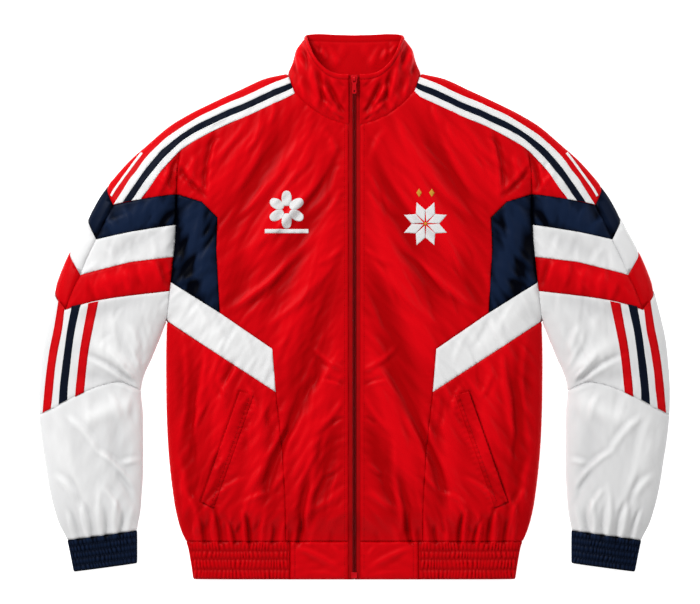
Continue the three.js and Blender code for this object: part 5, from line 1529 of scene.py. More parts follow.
@dataclass
class Chevron:
    """Edge of a sleeve band, from the armhole over the outline to the side on the table."""

    tip: Point2
    bend: Point2
    end: Point2
    outline: Point2

    def __post_init__(self) -> None:
        """Works out the edge's places on the sleeve's layout."""
        layout = SLEEVE_LAYOUT
        self.tip_at, self.bend_at, self.end_at = layout.from_plan([self.tip, self.bend, self.end])
        self.over = layout.from_plan([self.outline])[0][1]
        self.slope = (self.end_at[1] - self.tip_at[1]) / (self.end_at[0] - self.tip_at[0])
        span = float(layout.section(np.array([self.end_at[1]]))["span"][0])
        self.front = [(span, self.end_at[1]), self.bend_at, self.tip_at]
        near, far = -FOLD_TURN, -3 * span
        for _ in range(40):
            middle = (near + far) / 2
            if middle > layout.back_end(self.behind(middle)[1])[0]:
                near = middle
            else:
                far = middle
        self.back = [self.behind(0.0), self.behind(-FOLD_TURN), self.behind(near)]

    def behind(self, u: float) -> Point2:
        """Place of the edge at the outline or behind it."""
        return u, self.over - self.slope * u


@dataclass
class BodyPanels:
    """Front panels, inserts, pocket welts and hem tabs of the two body sides."""

    front_step: float = 2.3
    side_step: float = 2.1
    insert_step: float = 2.5
    welt_step: float = 1.7

    @staticmethod
    def seam(high: float, low: float) -> list[Point2]:
        """Plan points of the armhole and shoulder seam, from the upper height down."""
        heights = np.linspace(high, low, max(2, int((high - low) / 6)))
        return [(float(GROUND.body_edge(y)), float(y)) for y in heights]

    def pieces(self) -> list[ClothPiece]:
        """Cut pieces of one body side."""
        plan = BODY_LAYOUT.from_plan
        band_inner, band_low = BAND_CORNERS
        centre = smooth_run(CENTRE_SEAM, 8)
        neck = smooth_run(NECK_SEAM)
        front = [
            *self.seam(NECK_SEAM[0][1], INSERT_TOP_Y),
            *INSERT_CORNERS,
            *BAND_CORNERS,
            *centre,
            (ZIP_HALF, HEM_TOP),
            *neck[::-1][:-1],
        ]
        insert = [*self.seam(INSERT_TOP_Y, BAND_TOP_Y), *INSERT_CORNERS[::-1]]
        band = [*self.seam(BAND_TOP_Y, UNDERARM_Y), band_low, band_inner, INSERT_CORNERS[-1]]
        turned_y = np.linspace(UNDERARM_Y - 1.6, HEM_TOP, 40)
        side = [
            *plan(centre[::-1]),
            *plan([band_low, (float(GROUND.body_edge(UNDERARM_Y)) - 2, UNDERARM_Y - 1.6)]),
            *[(float(BODY_LAYOUT.fold_at(y)) + FOLD_TURN, float(y)) for y in turned_y],
        ]
        tab = [(ZIP_HALF, HEM_TOP), (TAB_HALF, HEM_TOP), (TAB_HALF, HEM_BOTTOM), (ZIP_HALF, HEM_BOTTOM)]
        fine, medium = (self.insert_step,) * 2, (self.side_step,) * 2
        return [
            ClothPiece("front_main", BODY_LAYOUT, plan(front), RED, (self.front_step,) * 2),
            ClothPiece("chest_insert", BODY_LAYOUT, plan(insert), NAVY, fine),
            ClothPiece("chest_band", BODY_LAYOUT, plan(band), WHITE, fine),
            ClothPiece("side_front", BODY_LAYOUT, side, RED, medium, extra=self.pocket_mouth),
            ClothPiece(
                "pocket_welt",
                BODY_LAYOUT,
                plan(WELT),
                RED,
                (self.welt_step,) * 2,
                lift=2.1,
                seam=0.4,
                pucker=0.6,
                extra=self.welt_ruffle,
                rests_on=("cloth_side_front_left",),
            ),
            ClothPiece("hem_tab", BODY_LAYOUT, tab, RED, (1.8, 1.8), BAND_WALL, extra=self.tab_relief),
        ]

    @staticmethod
    def welt_ruffle(u: np.ndarray, s: np.ndarray, side: Side) -> np.ndarray:
        """Short ruffles beside the welt's inner row of stitches."""
        inner = Chain(BODY_LAYOUT.from_plan([WELT[1], WELT[2]]))
        away, along = inner.nearest(u, s)
        wave = np.cos(along * 2 * math.pi / (7.2 + side.value * 0.4) + 1.2 * np.sin(along / 17))
        ruffle = 0.45 * wave * np.exp(-(((away - 3.4) / 2.6) ** 2))
        return ruffle - 1.5 * np.exp(-((away / 9) ** 2)) - 0.5 * np.exp(-(((away - 6.2) / 0.9) ** 2))

    @staticmethod
    def pocket_mouth(u: np.ndarray, s: np.ndarray, side: Side) -> np.ndarray:
        """Open edge of the pocket outside the welt, seams at its ends, and ruffles on its inner side."""
        corners = BODY_LAYOUT.from_plan(WELT)
        mouth = Chain([corners[3], corners[0]]).nearest(u - 1.2, s)[0]
        ends = np.minimum(Chain(corners[:2]).nearest(u, s - 1)[0], Chain(corners[2:]).nearest(u, s + 1)[0])
        inner, along = Chain(corners[1:3]).nearest(u, s)
        wave = np.cos(along * 2 * math.pi / 8.3 + 1.4 * np.sin(along / 13))
        ruffle = 0.4 * wave * np.exp(-(((inner - 4) / 3) ** 2))
        # The deep groove along the open edge also gets painted shade through the relief layer.
        return ruffle - 3.0 * np.exp(-((mouth / 1.5) ** 2)) - 1.2 * np.exp(-((ends / 1.1) ** 2))

    @staticmethod
    def tab_relief(u: np.ndarray, s: np.ndarray, side: Side) -> np.ndarray:
        """Flat tab with a drawn-in line of stitches and one slanting soft fold."""
        stitched = -0.8 * np.exp(-(((u - TAB_SEAM) / 1.1) ** 2))
        edge = smooth((HEM_TOP - s) / 4) * smooth((s - HEM_BOTTOM) / 4)
        fold = crease_height(TAB_FOLDS, u, s, 0.4)
        puff = 0.9 * smooth((TAB_HALF - u) / 6) * smooth((u - ZIP_HALF) / 6)
        return stitched + edge * (fold + puff + 0.35 * ripples(u, s, 91 + side.value, 15, 1.2))


TAB_FOLDS = np.array(
    [
        (80, -340, 22, -367, 4, 1.3),
        (74, -352, 40, -372, 4, -0.9),
        (30, -340, 20, -352, 3, 0.9),
        (66, -376, 24, -380, 3, 0.7),
    ],
    dtype=FOLD_COLUMNS,
)


@dataclass
class HemElastic:
    """Gathered strip round the sides and back of the hem."""

    rib: float = HEM_RIB
    column: float = 1.25
    row: float = 1.7

    def end(self, y: float) -> float:
        """Layout place of the centre back."""
        return float(BODY_LAYOUT.fold_at(y)) + float(GROUND.body_edge(y)) + FOLD_TURN - FOLD_REACH

    def relief(self, u: np.ndarray, s: np.ndarray, side: Side) -> np.ndarray:
        """Ribs of the strip, none where it joins the tab or turns under."""
        fold = BODY_LAYOUT.fold_at(s)
        free = smooth((fold - u - 2) / 12) * smooth((u - TAB_HALF) / 4) * smooth((HEM_TOP - s) / 2.5)
        return shirring(u, s, SHIRR_ROWS, self.rib, free)

    def piece(self) -> ClothPiece:
        """The strip, whole across the back."""
        heights = np.linspace(HEM_TOP, HEM_BOTTOM, 12)
        outline = [(TAB_HALF, HEM_BOTTOM), *[(self.end(y), float(y)) for y in heights[::-1]], (TAB_HALF, HEM_TOP)]
        fold = float(BODY_LAYOUT.fold_at(HEM_TOP)) + FOLD_TURN
        columns = [*np.arange(TAB_HALF, fold, self.column)[1:], *np.arange(fold, 2 * fold, 14)]
        rows = np.arange(HEM_BOTTOM, HEM_TOP, self.row)[1:]
        return ClothPiece(
            "hem_elastic",
            BODY_LAYOUT,
            outline,
            RED_ELASTIC,
            wall=BAND_WALL,
            extra=self.relief,
            pucker=0.0,
            u_lines=columns,
            s_lines=rows,
            mirrored=True,
        )


@dataclass
class BackPanel:
    """Whole back of the body, flat on the table."""

    step: float = 12.0

    def build(self) -> bpy.types.Object:
        """Makes the back with its outer side on the table."""
        side_y = np.linspace(UNDERARM_Y, HEM_TOP, 30)
        dense = np.linspace(0, GROUND.lengths[UNDERARM_ROW], 40)
        neck = [(float(ring["seam_x"]), float(ring["seam_y"])) for ring in RINGS[::-1] if ring["turn"] == 3]
        shoulder = zip(GROUND.station["in_x"](dense), GROUND.station["in_y"](dense))
        half = [
            *neck,
            *[(float(x), float(y)) for x, y in shoulder],
            *[(float(GROUND.body_edge(y)) - FOLD_REACH, float(y)) for y in side_y[1:]],
        ]
        outline = [*half, *[(-x, y) for x, y in half[:0:-1]]]
        cut = ClothPiece("back", BODY_LAYOUT, outline, RED, (self.step, self.step))
        shape = cut.pattern()
        flat = np.array([vert.co.xy for vert in shape.verts])
        for vert in shape.verts:
            vert.co.z = 0.02
        bmesh.ops.reverse_faces(shape, faces=shape.faces)
        ClothPiece.add_uv(shape, flat)
        piece = finish_object("cloth_back", mesh_from(shape, "back"), RED, ("back",))
        wall = piece.modifiers.new("wall", "SOLIDIFY")
        wall.thickness, wall.offset = 1.2 * MM, -1
        return piece


class SleevePanels:
    """Cut pieces, tapes and stripes of one sleeve, with its cuff."""

    def __init__(self, step: float = 2.5, back_step: float = 9.0) -> None:
        """Works out the bands' edges.

        Args:
            step: size of the faces on the upper side.
            back_step: size of the faces on the table.
        """
        self.layout = SLEEVE_LAYOUT
        self.bands = [Chevron(*points) for points in CHEVRONS]
        self.fine = (step, step)
        self.plain = (back_step, back_step)
        below = TAPE_ROWS[TAPE_ROWS["y"] < 215]
        edge = [(float(row["lower_in"]), float(row["y"])) for row in below]
        self.tape_edge = self.layout.from_plan([*edge, (298.6, 153.6)])

    @staticmethod
    def rows(start: float, end: float) -> list[float]:
        """Even places along the sleeve, both ends included."""
        return [float(s) for s in np.linspace(start, end, max(2, int((end - start) / 8) + 1))]

    def run(self, start: float, end: float, place: Callable[[float], Point2]) -> list[Point2]:
        """Inner edge between two places, with its step where the fold starts under the arm."""
        underarm = self.layout.underarm
        if start >= underarm or end <= underarm:
            return [place(s) for s in self.rows(start, end)]
        above = [place(s) for s in self.rows(start, underarm + 0.3)]
        below = [place(s) for s in self.rows(underarm + 0.8, end)]
        return above + below

    def pieces(self) -> list[ClothPiece]:
        """Cut pieces of one sleeve."""
        cap, navy, white, red = self.bands
        saddle_end = float(GROUND.lengths[SADDLE_ROW])
        inner, back = self.layout.inner_end, self.layout.back_end
        split = cap.behind(-FOLD_TURN - SADDLE_BACK)
        saddle_rows = self.rows(0.0, saddle_end)
        saddle = [
            *[back(s) for s in saddle_rows[::-1]],
            *[inner(s) for s in saddle_rows],
            *self.tape_edge,
            cap.front[1],
            cap.tip_at,
            *cap.back[:2],
            split,
        ]
        cap_front = [*self.run(saddle_end, cap.front[0][1], inner), *self.tape_edge[::-1]]
        upper_back = [back(saddle_end), split, *self.run(saddle_end, cap.back[2][1], back)[:0:-1]]
        elbow = smooth_run(self.layout.from_plan(ELBOW))
        elbow_out, elbow_in = elbow[0][1], elbow[-1][1]
        forearm = [
            *red.front[:0:-1],
            *self.run(red.front[0][1], elbow_in, inner),
            *elbow[-2:0:-1],
            (0.0, elbow_out),
            (-FOLD_TURN, elbow_out),
            red.back[1],
            red.back[0],
        ]
        cuff = self.layout.cuff
        lower = [
            (-FOLD_TURN, elbow_out),
            (0.0, elbow_out),
            *elbow[1:-1],
            *self.run(elbow_in, cuff, inner),
            (-FOLD_TURN, cuff),
        ]
        fronts = [
            ("saddle", saddle, RED_SLEEVE),
            ("sleeve_cap", cap_front, RED_SLEEVE),
            ("navy_front", self.band_front(cap, navy), NAVY),
            ("white_front", self.band_front(navy, white), WHITE),
            ("red_front", self.band_front(white, red), RED_SLEEVE),
            ("forearm_front", forearm, WHITE_SLEEVE),
            ("lower_sleeve_front", lower, WHITE_SLEEVE),
        ]
        backs = [
            ("sleeve_back_upper", upper_back, RED_SLEEVE),
            ("navy_back", self.band_back(cap, navy), NAVY),
            ("white_back", self.band_back(navy, white), WHITE),
            ("red_back", self.band_back(white, red), RED_SLEEVE),
            ("forearm_back", self.tail(red.back[1], red.back[2][1], elbow_out, elbow_in), WHITE),
            ("lower_sleeve_back", self.tail((-FOLD_TURN, elbow_out), elbow_in, cuff, cuff), WHITE),
        ]
        made = [ClothPiece(name, self.layout, outline, finish, self.fine) for name, outline, finish in fronts]
        made += [
            ClothPiece(name, self.layout, outline, finish, self.plain, rests_on=("floor",))
            for name, outline, finish in backs
        ]
        return [*made, *self.strips(), self.cuff()]

    def band_front(self, upper: Chevron, lower: Chevron) -> list[Point2]:
        """Upper side of a band between two edges."""
        inner = self.run(upper.front[0][1], lower.front[0][1], self.layout.inner_end)
        return [*upper.front[:0:-1], *inner, *lower.front[1:]]

    def band_back(self, upper: Chevron, lower: Chevron) -> list[Point2]:
        """Side of a band that lies on the table."""
        inner = self.run(upper.back[2][1], lower.back[2][1], self.layout.back_end)
        return [upper.tip_at, lower.tip_at, *lower.back[:-1], *inner[::-1], *upper.back[1::-1]]

    def tail(self, start: Point2, inner_start: float, end: float, inner_end: float) -> list[Point2]:
        """Side on the table of the forearm or the lower sleeve."""
        inner = self.run(inner_start, inner_end, self.layout.back_end)
        return [start, (-FOLD_TURN, end), *inner[::-1]]

    def strips(self) -> list[ClothPiece]:
        """Shoulder tapes, sleeve stripes and the white line before the rear red panel."""
        tapes = (
            ("upper", "top", "upper", WHITE_TAPE),
            ("middle", "upper", "lower", NAVY_TAPE),
            ("lower", "lower", "bottom", WHITE_TAPE),
        )
        made = [
            self.strip(f"tape_{name}", TAPE_LINES[first], TAPE_LINES[second], finish)
            for name, first, second, finish in tapes
        ]
        for name, finish in (("outer", RED_TAPE), ("middle", NAVY_TAPE), ("inner", RED_TAPE)):
            ends = STRIPE_ENDS[name]
            outer = [(float(row[f"{name}_out"]), float(row["y"])) for row in STRIPE_ROWS]
            inner = [(float(row[f"{name}_in"]), float(row["y"])) for row in STRIPE_ROWS]
            first, second = [ends[0], *outer, ends[1]], [ends[3], *inner, ends[2]]
            made.append(self.strip(f"stripe_{name}", first, second, finish))
        line = np.asarray(smooth_run(REAR_PIPING))
        other = line - np.array([2.6, 2.1])
        outline = self.layout.from_plan([*line, *other[::-1]])
        made.append(
            ClothPiece(
                "rear_tape_edge",
                self.layout,
                outline,
                WHITE_TAPE,
                (1.7, 2.4),
                TAPE_WALL,
                TAPE_LIFT,
                seam=0.2,
                pucker=0.0,
                nodes=(),
                rests_on=("cloth_saddle_left",),
            )
        )
        return made

    def strip(self, name: str, first: list[Point2], second: list[Point2], finish: Finish) -> ClothPiece:
        """One tape or stripe between two lines, lying a little over the sleeve."""
        first, second = smooth_run(first), smooth_run(second)[::-1]
        outline = self.layout.from_plan([*first, *second])
        return ClothPiece(
            name,
            self.layout,
            outline,
            finish,
            (1.8, 2.4),
            TAPE_WALL,
            TAPE_LIFT,
            seam=0.25,
            pucker=0.15,
            rests_on=("cloth_saddle_left",),
        )

    def cuff(self) -> ClothPiece:
        """Gathered cuff, open along the seam under its inner fold."""
        layout = self.layout
        rows = np.linspace(layout.cuff, layout.end, 7)
        around = [(float(layout.section(np.array([s]))["span"][0]) + FOLD_TURN, float(s)) for s in rows]
        behind = [(layout.back_end(float(s))[0] + FOLD_REACH * 0.2, float(s)) for s in rows[::-1]]
        span = around[0][0]
        columns = [*np.arange(behind[0][0], -FOLD_TURN, 12)[1:], *np.arange(-FOLD_TURN, span, 1.2)]
        return ClothPiece(
            "cuff",
            layout,
            [*around, *behind],
            NAVY,
            wall=BAND_WALL,
            extra=self.cuff_relief,
            pucker=0.0,
            u_lines=columns,
            s_lines=np.arange(layout.cuff, layout.end, 1.6)[1:],
        )

    def cuff_rows(self) -> np.ndarray:
        """Places of the cuff's rows of stitches."""
        return np.linspace(self.layout.cuff, self.layout.end, CUFF_ROWS + 2)

    def cuff_relief(self, u: np.ndarray, s: np.ndarray, side: Side) -> np.ndarray:
        """Ribs of the cuff."""
        span = self.layout.section(s)["span"]
        free = smooth(np.minimum(u - 1, span - u - 1) / 10) * smooth((s - self.layout.cuff) / 2.5)
        return shirring(u + 31 * side.value, s, self.cuff_rows(), CUFF_RIB, free)


class CollarLayout(Layout):
    """Stand collar of two layers: u round it from the zip, s up the outside, over the rim and down inside."""

    def __init__(self, rise: float = 70.0, rim: float = 1.3) -> None:
        """Works out the rings.

        Args:
            rise: nominal height of the stand.
            rim: radius of the turned rim.
        """
        self.rise = rise
        self.rim = rim
        seam_z = GROUND.height(RINGS["seam_x"], RINGS["seam_y"], BODY_PUFF)
        from_side = clamp(np.hypot(RINGS["rim_x"] - 69.2, RINGS["rim_y"] - 385) / COLLAR_RISE)
        rim_z = COLLAR_SIDE_Z + (COLLAR_RIM_Z - COLLAR_SIDE_Z) * np.sqrt(from_side * (2 - from_side))
        turn = RINGS["turn"]
        low = np.select([turn == 3, turn == 2, turn == 1], [0.0, 0.3 * FOLD_Z, FOLD_Z], seam_z)
        high = np.select([turn == 3, turn == 2], [0.0, 0.3 * COLLAR_SIDE_Z], rim_z)
        low_points = np.column_stack([RINGS["seam_x"], RINGS["seam_y"], low])
        high_points = np.column_stack([RINGS["rim_x"], RINGS["rim_y"], high])
        steps = np.linalg.norm(np.diff((low_points + high_points) / 2, axis=0), axis=1)
        self.places = np.concatenate([[0], np.cumsum(steps)])
        self.low = [Curve(self.places, low_points[:, axis]) for axis in range(3)]
        self.high = [Curve(self.places, high_points[:, axis]) for axis in range(3)]
        self.back_from = float(self.places[9])

    @property
    def length(self) -> float:
        """Half the collar's length."""
        return float(self.places[-1])

    @property
    def unfolded(self) -> float:
        """Height of both layers and the rim."""
        return 2 * self.rise + math.pi * self.rim

    def face(self, u: np.ndarray, v: np.ndarray) -> np.ndarray:
        """Outer surface at a share of its height."""
        low = np.column_stack([curve(u) for curve in self.low])
        high = np.column_stack([curve(u) for curve in self.high])
        points = low + (high - low) * np.asarray(v)[:, None]
        points[:, 2] = np.maximum(points[:, 2], 0.0)
        return points

    def frame(self, u: np.ndarray, v: np.ndarray) -> tuple[np.ndarray, np.ndarray]:
        """Outward and upward unit directions of the stand."""
        step = np.full(len(u), 0.02)
        up = self.face(u, v + step) - self.face(u, v - step)
        across = self.face(u + 0.8, v) - self.face(u - 0.8, v)
        out = np.cross(across, up)
        out[u > self.back_from + 6] = (0, 0, -1)
        scale = [np.maximum(np.linalg.norm(each, axis=1, keepdims=True), 1e-9) for each in (out, up)]
        return out / scale[0], up / scale[1]

    def split(self, s: np.ndarray) -> tuple[np.ndarray, np.ndarray]:
        """Share of the height and angle over the rim."""
        angle = clamp((s - self.rise) / self.rim, 0, math.pi)
        down = np.maximum(0, s - self.rise - math.pi * self.rim)
        return clamp(np.minimum(s, self.rise) / self.rise - down / self.rise, -0.1, 1.0), angle

    def base(self, u: np.ndarray, s: np.ndarray) -> np.ndarray:
        """Points of both layers without folds."""
        v, angle = self.split(s)
        out, up = self.frame(u, np.minimum(v, 0.97))
        inwards = self.rim * (1 - np.cos(angle))
        return self.face(u, v) - out * inwards[:, None] + up * (self.rim * np.sin(angle))[:, None]

    def normals(self, u: np.ndarray, s: np.ndarray) -> np.ndarray:
        """Outward direction of the stand for both layers, so that they fold together."""
        return self.frame(u, np.minimum(self.split(s)[0], 0.97))[0]

    def relief(self, u: np.ndarray, s: np.ndarray, points: np.ndarray, side: Side) -> np.ndarray:
        """Folds of the stand, none at the seam, the rim or the back."""
        v, _ = self.split(s)
        x, y = np.abs(points[:, 0]), points[:, 1]
        front = smooth((self.back_from - 8 - u) / 12) * smooth(u / 6)
        body = 1.5 * crease_height(COLLAR_CREASES, x, y, 0.6) + 0.8 * ripples(x, y, 61 + side.value, 15, 0.6)
        rim = 0.5 * np.sin(u / 5.3 + side.value) * np.sin(u / 13.1) * smooth((v - 0.8) / 0.15)
        bulge = 3.6 * np.exp(-(((v - 0.6) / 0.22) ** 2) - ((u - self.places[8]) / 17) ** 2)
        folded = front * (body * smooth((v + 0.04) / 0.12) * (1 - 0.85 * smooth((v - 0.7) / 0.25)) + rim)
        hooks = -crease_height(INNER_CREASES, x, y, 0.5) * smooth((u - self.back_from) / 6)
        lower = smooth((s - self.rise - 12) / 6)
        return folded + np.maximum(0, bulge) + hooks * lower


@dataclass
class Collar:
    """Stand collar, made whole with a turned rim, and its crease at each corner."""

    column: float = 1.9
    row: float = 1.9
    foot: float = 4.0

    def build(self) -> bpy.types.Object:
        """Makes the collar of its two layers."""
        layout = COLLAR_LAYOUT
        shape = bmesh.new()
        foot, top = -self.foot, layout.unfolded
        outline = [(0.0, foot), (layout.length, foot), (layout.length, top), (0.0, top)]
        rim_rows = layout.rise + np.linspace(0, math.pi * layout.rim, 7)
        rows = [-2.0, 0.0, *lines_between(0, layout.rise, self.row), *rim_rows]
        rows += [float(layout.unfolded - row) for row in lines_between(0, layout.rise, self.row)]
        strip = ClothPiece("collar", layout, outline, RED, (self.column, self.row), s_lines=rows)
        shape.free()
        shape = strip.pattern()
        flat = np.array([vert.co.xy for vert in shape.verts])
        ClothPiece.add_uv(shape, flat)
        halves = []
        for side in Side:
            half = shape.copy()
            u, s = flat[:, 0], flat[:, 1]
            points, height = layout.raised(u, s, side, self.hand_made(u, s))
            points[:, 2] = np.maximum(points[:, 2], 0.02)
            # The relief layer drives painted fold shade in the colour. Inside the collar its sign is turned, so that
            # hollows seen from inside are painted darker too.
            relief = half.verts.layers.float.new("relief")
            sign = np.where(s > layout.rise + 2 * layout.rim, -1, 1)
            for vert, point, out in zip(half.verts, points, height * sign):
                vert.co = point
                vert[relief] = out
            if side is Side.RIGHT:
                bmesh.ops.reverse_faces(half, faces=half.faces)
            halves.append(mesh_from(half, f"collar_{side.word}"))
        shape.clear()
        for half in halves:
            shape.from_mesh(half)
        middle = [vert for vert in shape.verts if abs(vert.co.x) < 0.0005 and vert.co.y > 0.3]
        for vert in middle:
            vert.co.x = 0
        bmesh.ops.remove_doubles(shape, verts=middle, dist=0.0003)
        mesh = bpy.data.meshes.new("collar")
        shape.to_mesh(mesh)
        shape.free()
        piece = finish_object("cloth_collar", mesh, RED, ("collar",))
        wall = piece.modifiers.new("wall", "SOLIDIFY")
        wall.thickness, wall.offset, wall.use_even_offset = 0.7 * MM, -1, False
        length, height = 2 * layout.length * MM, (layout.unfolded + self.foot) * MM
        return piece

    @staticmethod
    def hand_made(u: np.ndarray, s: np.ndarray) -> np.ndarray:
        """Seam, rim band and its groove outside, and the groove below the rim inside."""
        layout = COLLAR_LAYOUT
        below_rim = layout.rise - s
        outside = -0.7 * np.exp(-((s / 1.6) ** 2)) + 0.5 * np.minimum(0, s)
        outside = outside - 1.1 * np.exp(-(((below_rim - 6.2) / 1.1) ** 2))
        outside = outside + 0.6 * smooth((6.2 - below_rim) / 2.0)
        inner = s - layout.rise - math.pi * layout.rim
        back = smooth((u - layout.back_from) / 10)
        inside = 0.6 * smooth((6 - inner) / 2) + back * 1.5 * np.exp(-(((inner - 7.5) / 1.3) ** 2))
        return np.where(s < layout.rise, outside, inside)


COLLAR_LAYOUT = CollarLayout()


class ZipLayout(Layout):
    """Line of the zip: u across from the middle, s up from the hem."""

    def __init__(self) -> None:
        """Joins the line on the body to the line up the collar."""
        heights = np.arange(HEM_BOTTOM, 253, 6.0)
        body = BODY_LAYOUT.base(np.full(len(heights), 0.1), heights)
        ends = COLLAR_LAYOUT.face(np.zeros(5), np.linspace(0.06, 1.0, 5))
        ends[:, 0] = 0
        points = np.vstack([body, ends])
        steps = np.hypot(np.diff(points[:, 1]), np.diff(points[:, 2]))
        self.places = np.concatenate([[0], np.cumsum(steps)])
        self.y, self.z = Curve(self.places, points[:, 1]), Curve(self.places, points[:, 2])

    @property
    def length(self) -> float:
        """Length of the zip."""
        return float(self.places[-1])

    def at_height(self, y: float) -> float:
        """Length along the zip of a height on the table."""
        dense = np.linspace(0, self.length, 1500)
        return float(np.interp(y, self.y(dense), dense))

    def base(self, u: np.ndarray, s: np.ndarray) -> np.ndarray:
        """Points on the zip's line."""
        return np.column_stack([u, self.y(s), self.z(s)])

    def relief(self, u: np.ndarray, s: np.ndarray, points: np.ndarray, side: Side) -> np.ndarray:
        """Slight waves of the tape."""
        return 0.18 * np.sin(s / 11.0 + side.value) * smooth((u - 3) / 4)


ZIP_LAYOUT = ZipLayout()


@dataclass
class Zip:
    """Tapes, coils, bottom box, slider and pull of the zip."""

    tape_half: float = 11.0
    drop: float = 1.1
    pitch: float = 1.35
    tooth: tuple[float, float, float] = (1.75, 0.52, 0.95)
    tooth_at: float = 1.45

    def tape(self) -> ClothPiece:
        """Tape of one side."""
        length = ZIP_LAYOUT.length
        outline = [(0.35, 0.0), (self.tape_half, 0.0), (self.tape_half, length), (0.35, length)]
        return ClothPiece(
            "zip",
            ZIP_LAYOUT,
            outline,
            ZIP_TAPE,
            (1.5, 2.6),
            TAPE_WALL,
            -self.drop,
            seam=0.0,
            pucker=0.0,
            nodes=(),
            rests_on=("cloth_back",),
        )

    def coils(self, side: Side) -> bpy.types.Object:
        """Teeth of one side, each a small rounded loop."""
        bead = bmesh.new()
        bmesh.ops.create_icosphere(bead, subdivisions=1, radius=1.0)
        shift = 0.25 if side is Side.LEFT else 0.75
        along = (np.arange(int(ZIP_LAYOUT.length / self.pitch) - 1) + shift) * self.pitch
        along = along[(along > 6) & (along < ZIP_LAYOUT.length - 4)]
        centres = ZIP_LAYOUT.place(np.full(len(along), self.tooth_at), along, side, 0.35 - self.drop)
        ahead = ZIP_LAYOUT.place(np.full(len(along), self.tooth_at), along + 1, side, 0.35 - self.drop)
        places = []
        for centre, ahead_of in zip(centres, ahead):
            forward = Vector(ahead_of - centre).normalized()
            outward = Vector((0, -forward.z, forward.y))
            turn = Matrix((Vector((1, 0, 0)), forward, outward)).transposed().to_4x4()
            places.append(Matrix.Translation(centre) @ turn @ Matrix.Diagonal((*self.tooth, 1)))
        mesh = scattered(bead, places, f"coil_{side.word}")
        return finish_object(f"coil_{side.word}", mesh, COIL, (f"zip_{side.word}",))

    def box(self) -> bpy.types.Object:
        """Box at the foot of the zip, with an inset on its top."""
        shape = bmesh.new()
        y, z = -381.4, float(ZIP_LAYOUT.z(6.0))
        size = Matrix.Diagonal((8.4, 8.6, 2.8, 1))
        bmesh.ops.create_cube(shape, size=1.0, matrix=Matrix.Translation((0, y, z - 0.4)) @ size)
        bmesh.ops.bevel(
            shape, geom=shape.edges[:], affect="EDGES", offset=0.7, segments=3, profile=0.5, material=-1
        )
        top = [face for face in shape.faces if face.normal.z > 0.99 and face.calc_area() > 10]
        bmesh.ops.inset_region(shape, faces=top, thickness=1.1, depth=-0.35)
        return finish_object("zip_box", mesh_from(shape, "zip_box"), PAINTED)

    @staticmethod
    def hard_part(node: str, name: str, body: str, bevel: float) -> bpy.types.Object:
        """Rounded, closed copy of a hard CAD node.

        Args:
            node: the CAD node.
            name: name of the new piece.
            body: the body that it moves with.
            bevel: radius of its edges.

        Returns:
            The new piece.
        """
        shape = bmesh.new()
        shape.from_mesh(bpy.data.objects[node].data)
        bmesh.ops.remove_doubles(shape, verts=shape.verts, dist=0.00002)
        bmesh.ops.dissolve_limit(shape, angle_limit=math.radians(1.0), verts=shape.verts, edges=shape.edges)
        bmesh.ops.recalc_face_normals(shape, faces=shape.faces)
        mesh = bpy.data.meshes.new(name)
        shape.to_mesh(mesh)
        shape.free()
        piece = finish_object(name, mesh, PAINTED, (node,))
        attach(piece, body)
        rounded = piece.modifiers.new("rounded", "BEVEL")
        rounded.width, rounded.segments, rounded.limit_method = bevel * MM, 3, "ANGLE"
        rounded.angle_limit = math.radians(28)
        rounded.harden_normals = False
        mesh.polygons.foreach_set("use_smooth", np.ones(len(mesh.polygons), bool))
        return piece


def scattered(template: bmesh.types.BMesh, places: Sequence[Matrix], name: str) -> bpy.types.Mesh:
    """One mesh with a copy of a small shape at each place.

    Args:
        template: the shape, in millimetres; it is freed.
        places: where its copies go, in millimetres.
        name: the mesh's name.

    Returns:
        The mesh in metres.
    """
    template.verts.index_update()
    corners = np.array([(*vert.co, 1.0) for vert in template.verts])
    faces = np.array([[vert.index for vert in face.verts] for face in template.faces])
    moved = np.einsum("nij,vj->nvi", np.array([np.array(place) for place in places]), corners)
    shifts = np.arange(len(places))[:, None, None] * len(corners)
    mesh = bpy.data.meshes.new(name)
    mesh.from_pydata((moved[..., :3].reshape(-1, 3) * MM), [], (faces[None] + shifts).reshape(-1, faces.shape[1]))
    mesh.update()
    template.free()
    return mesh


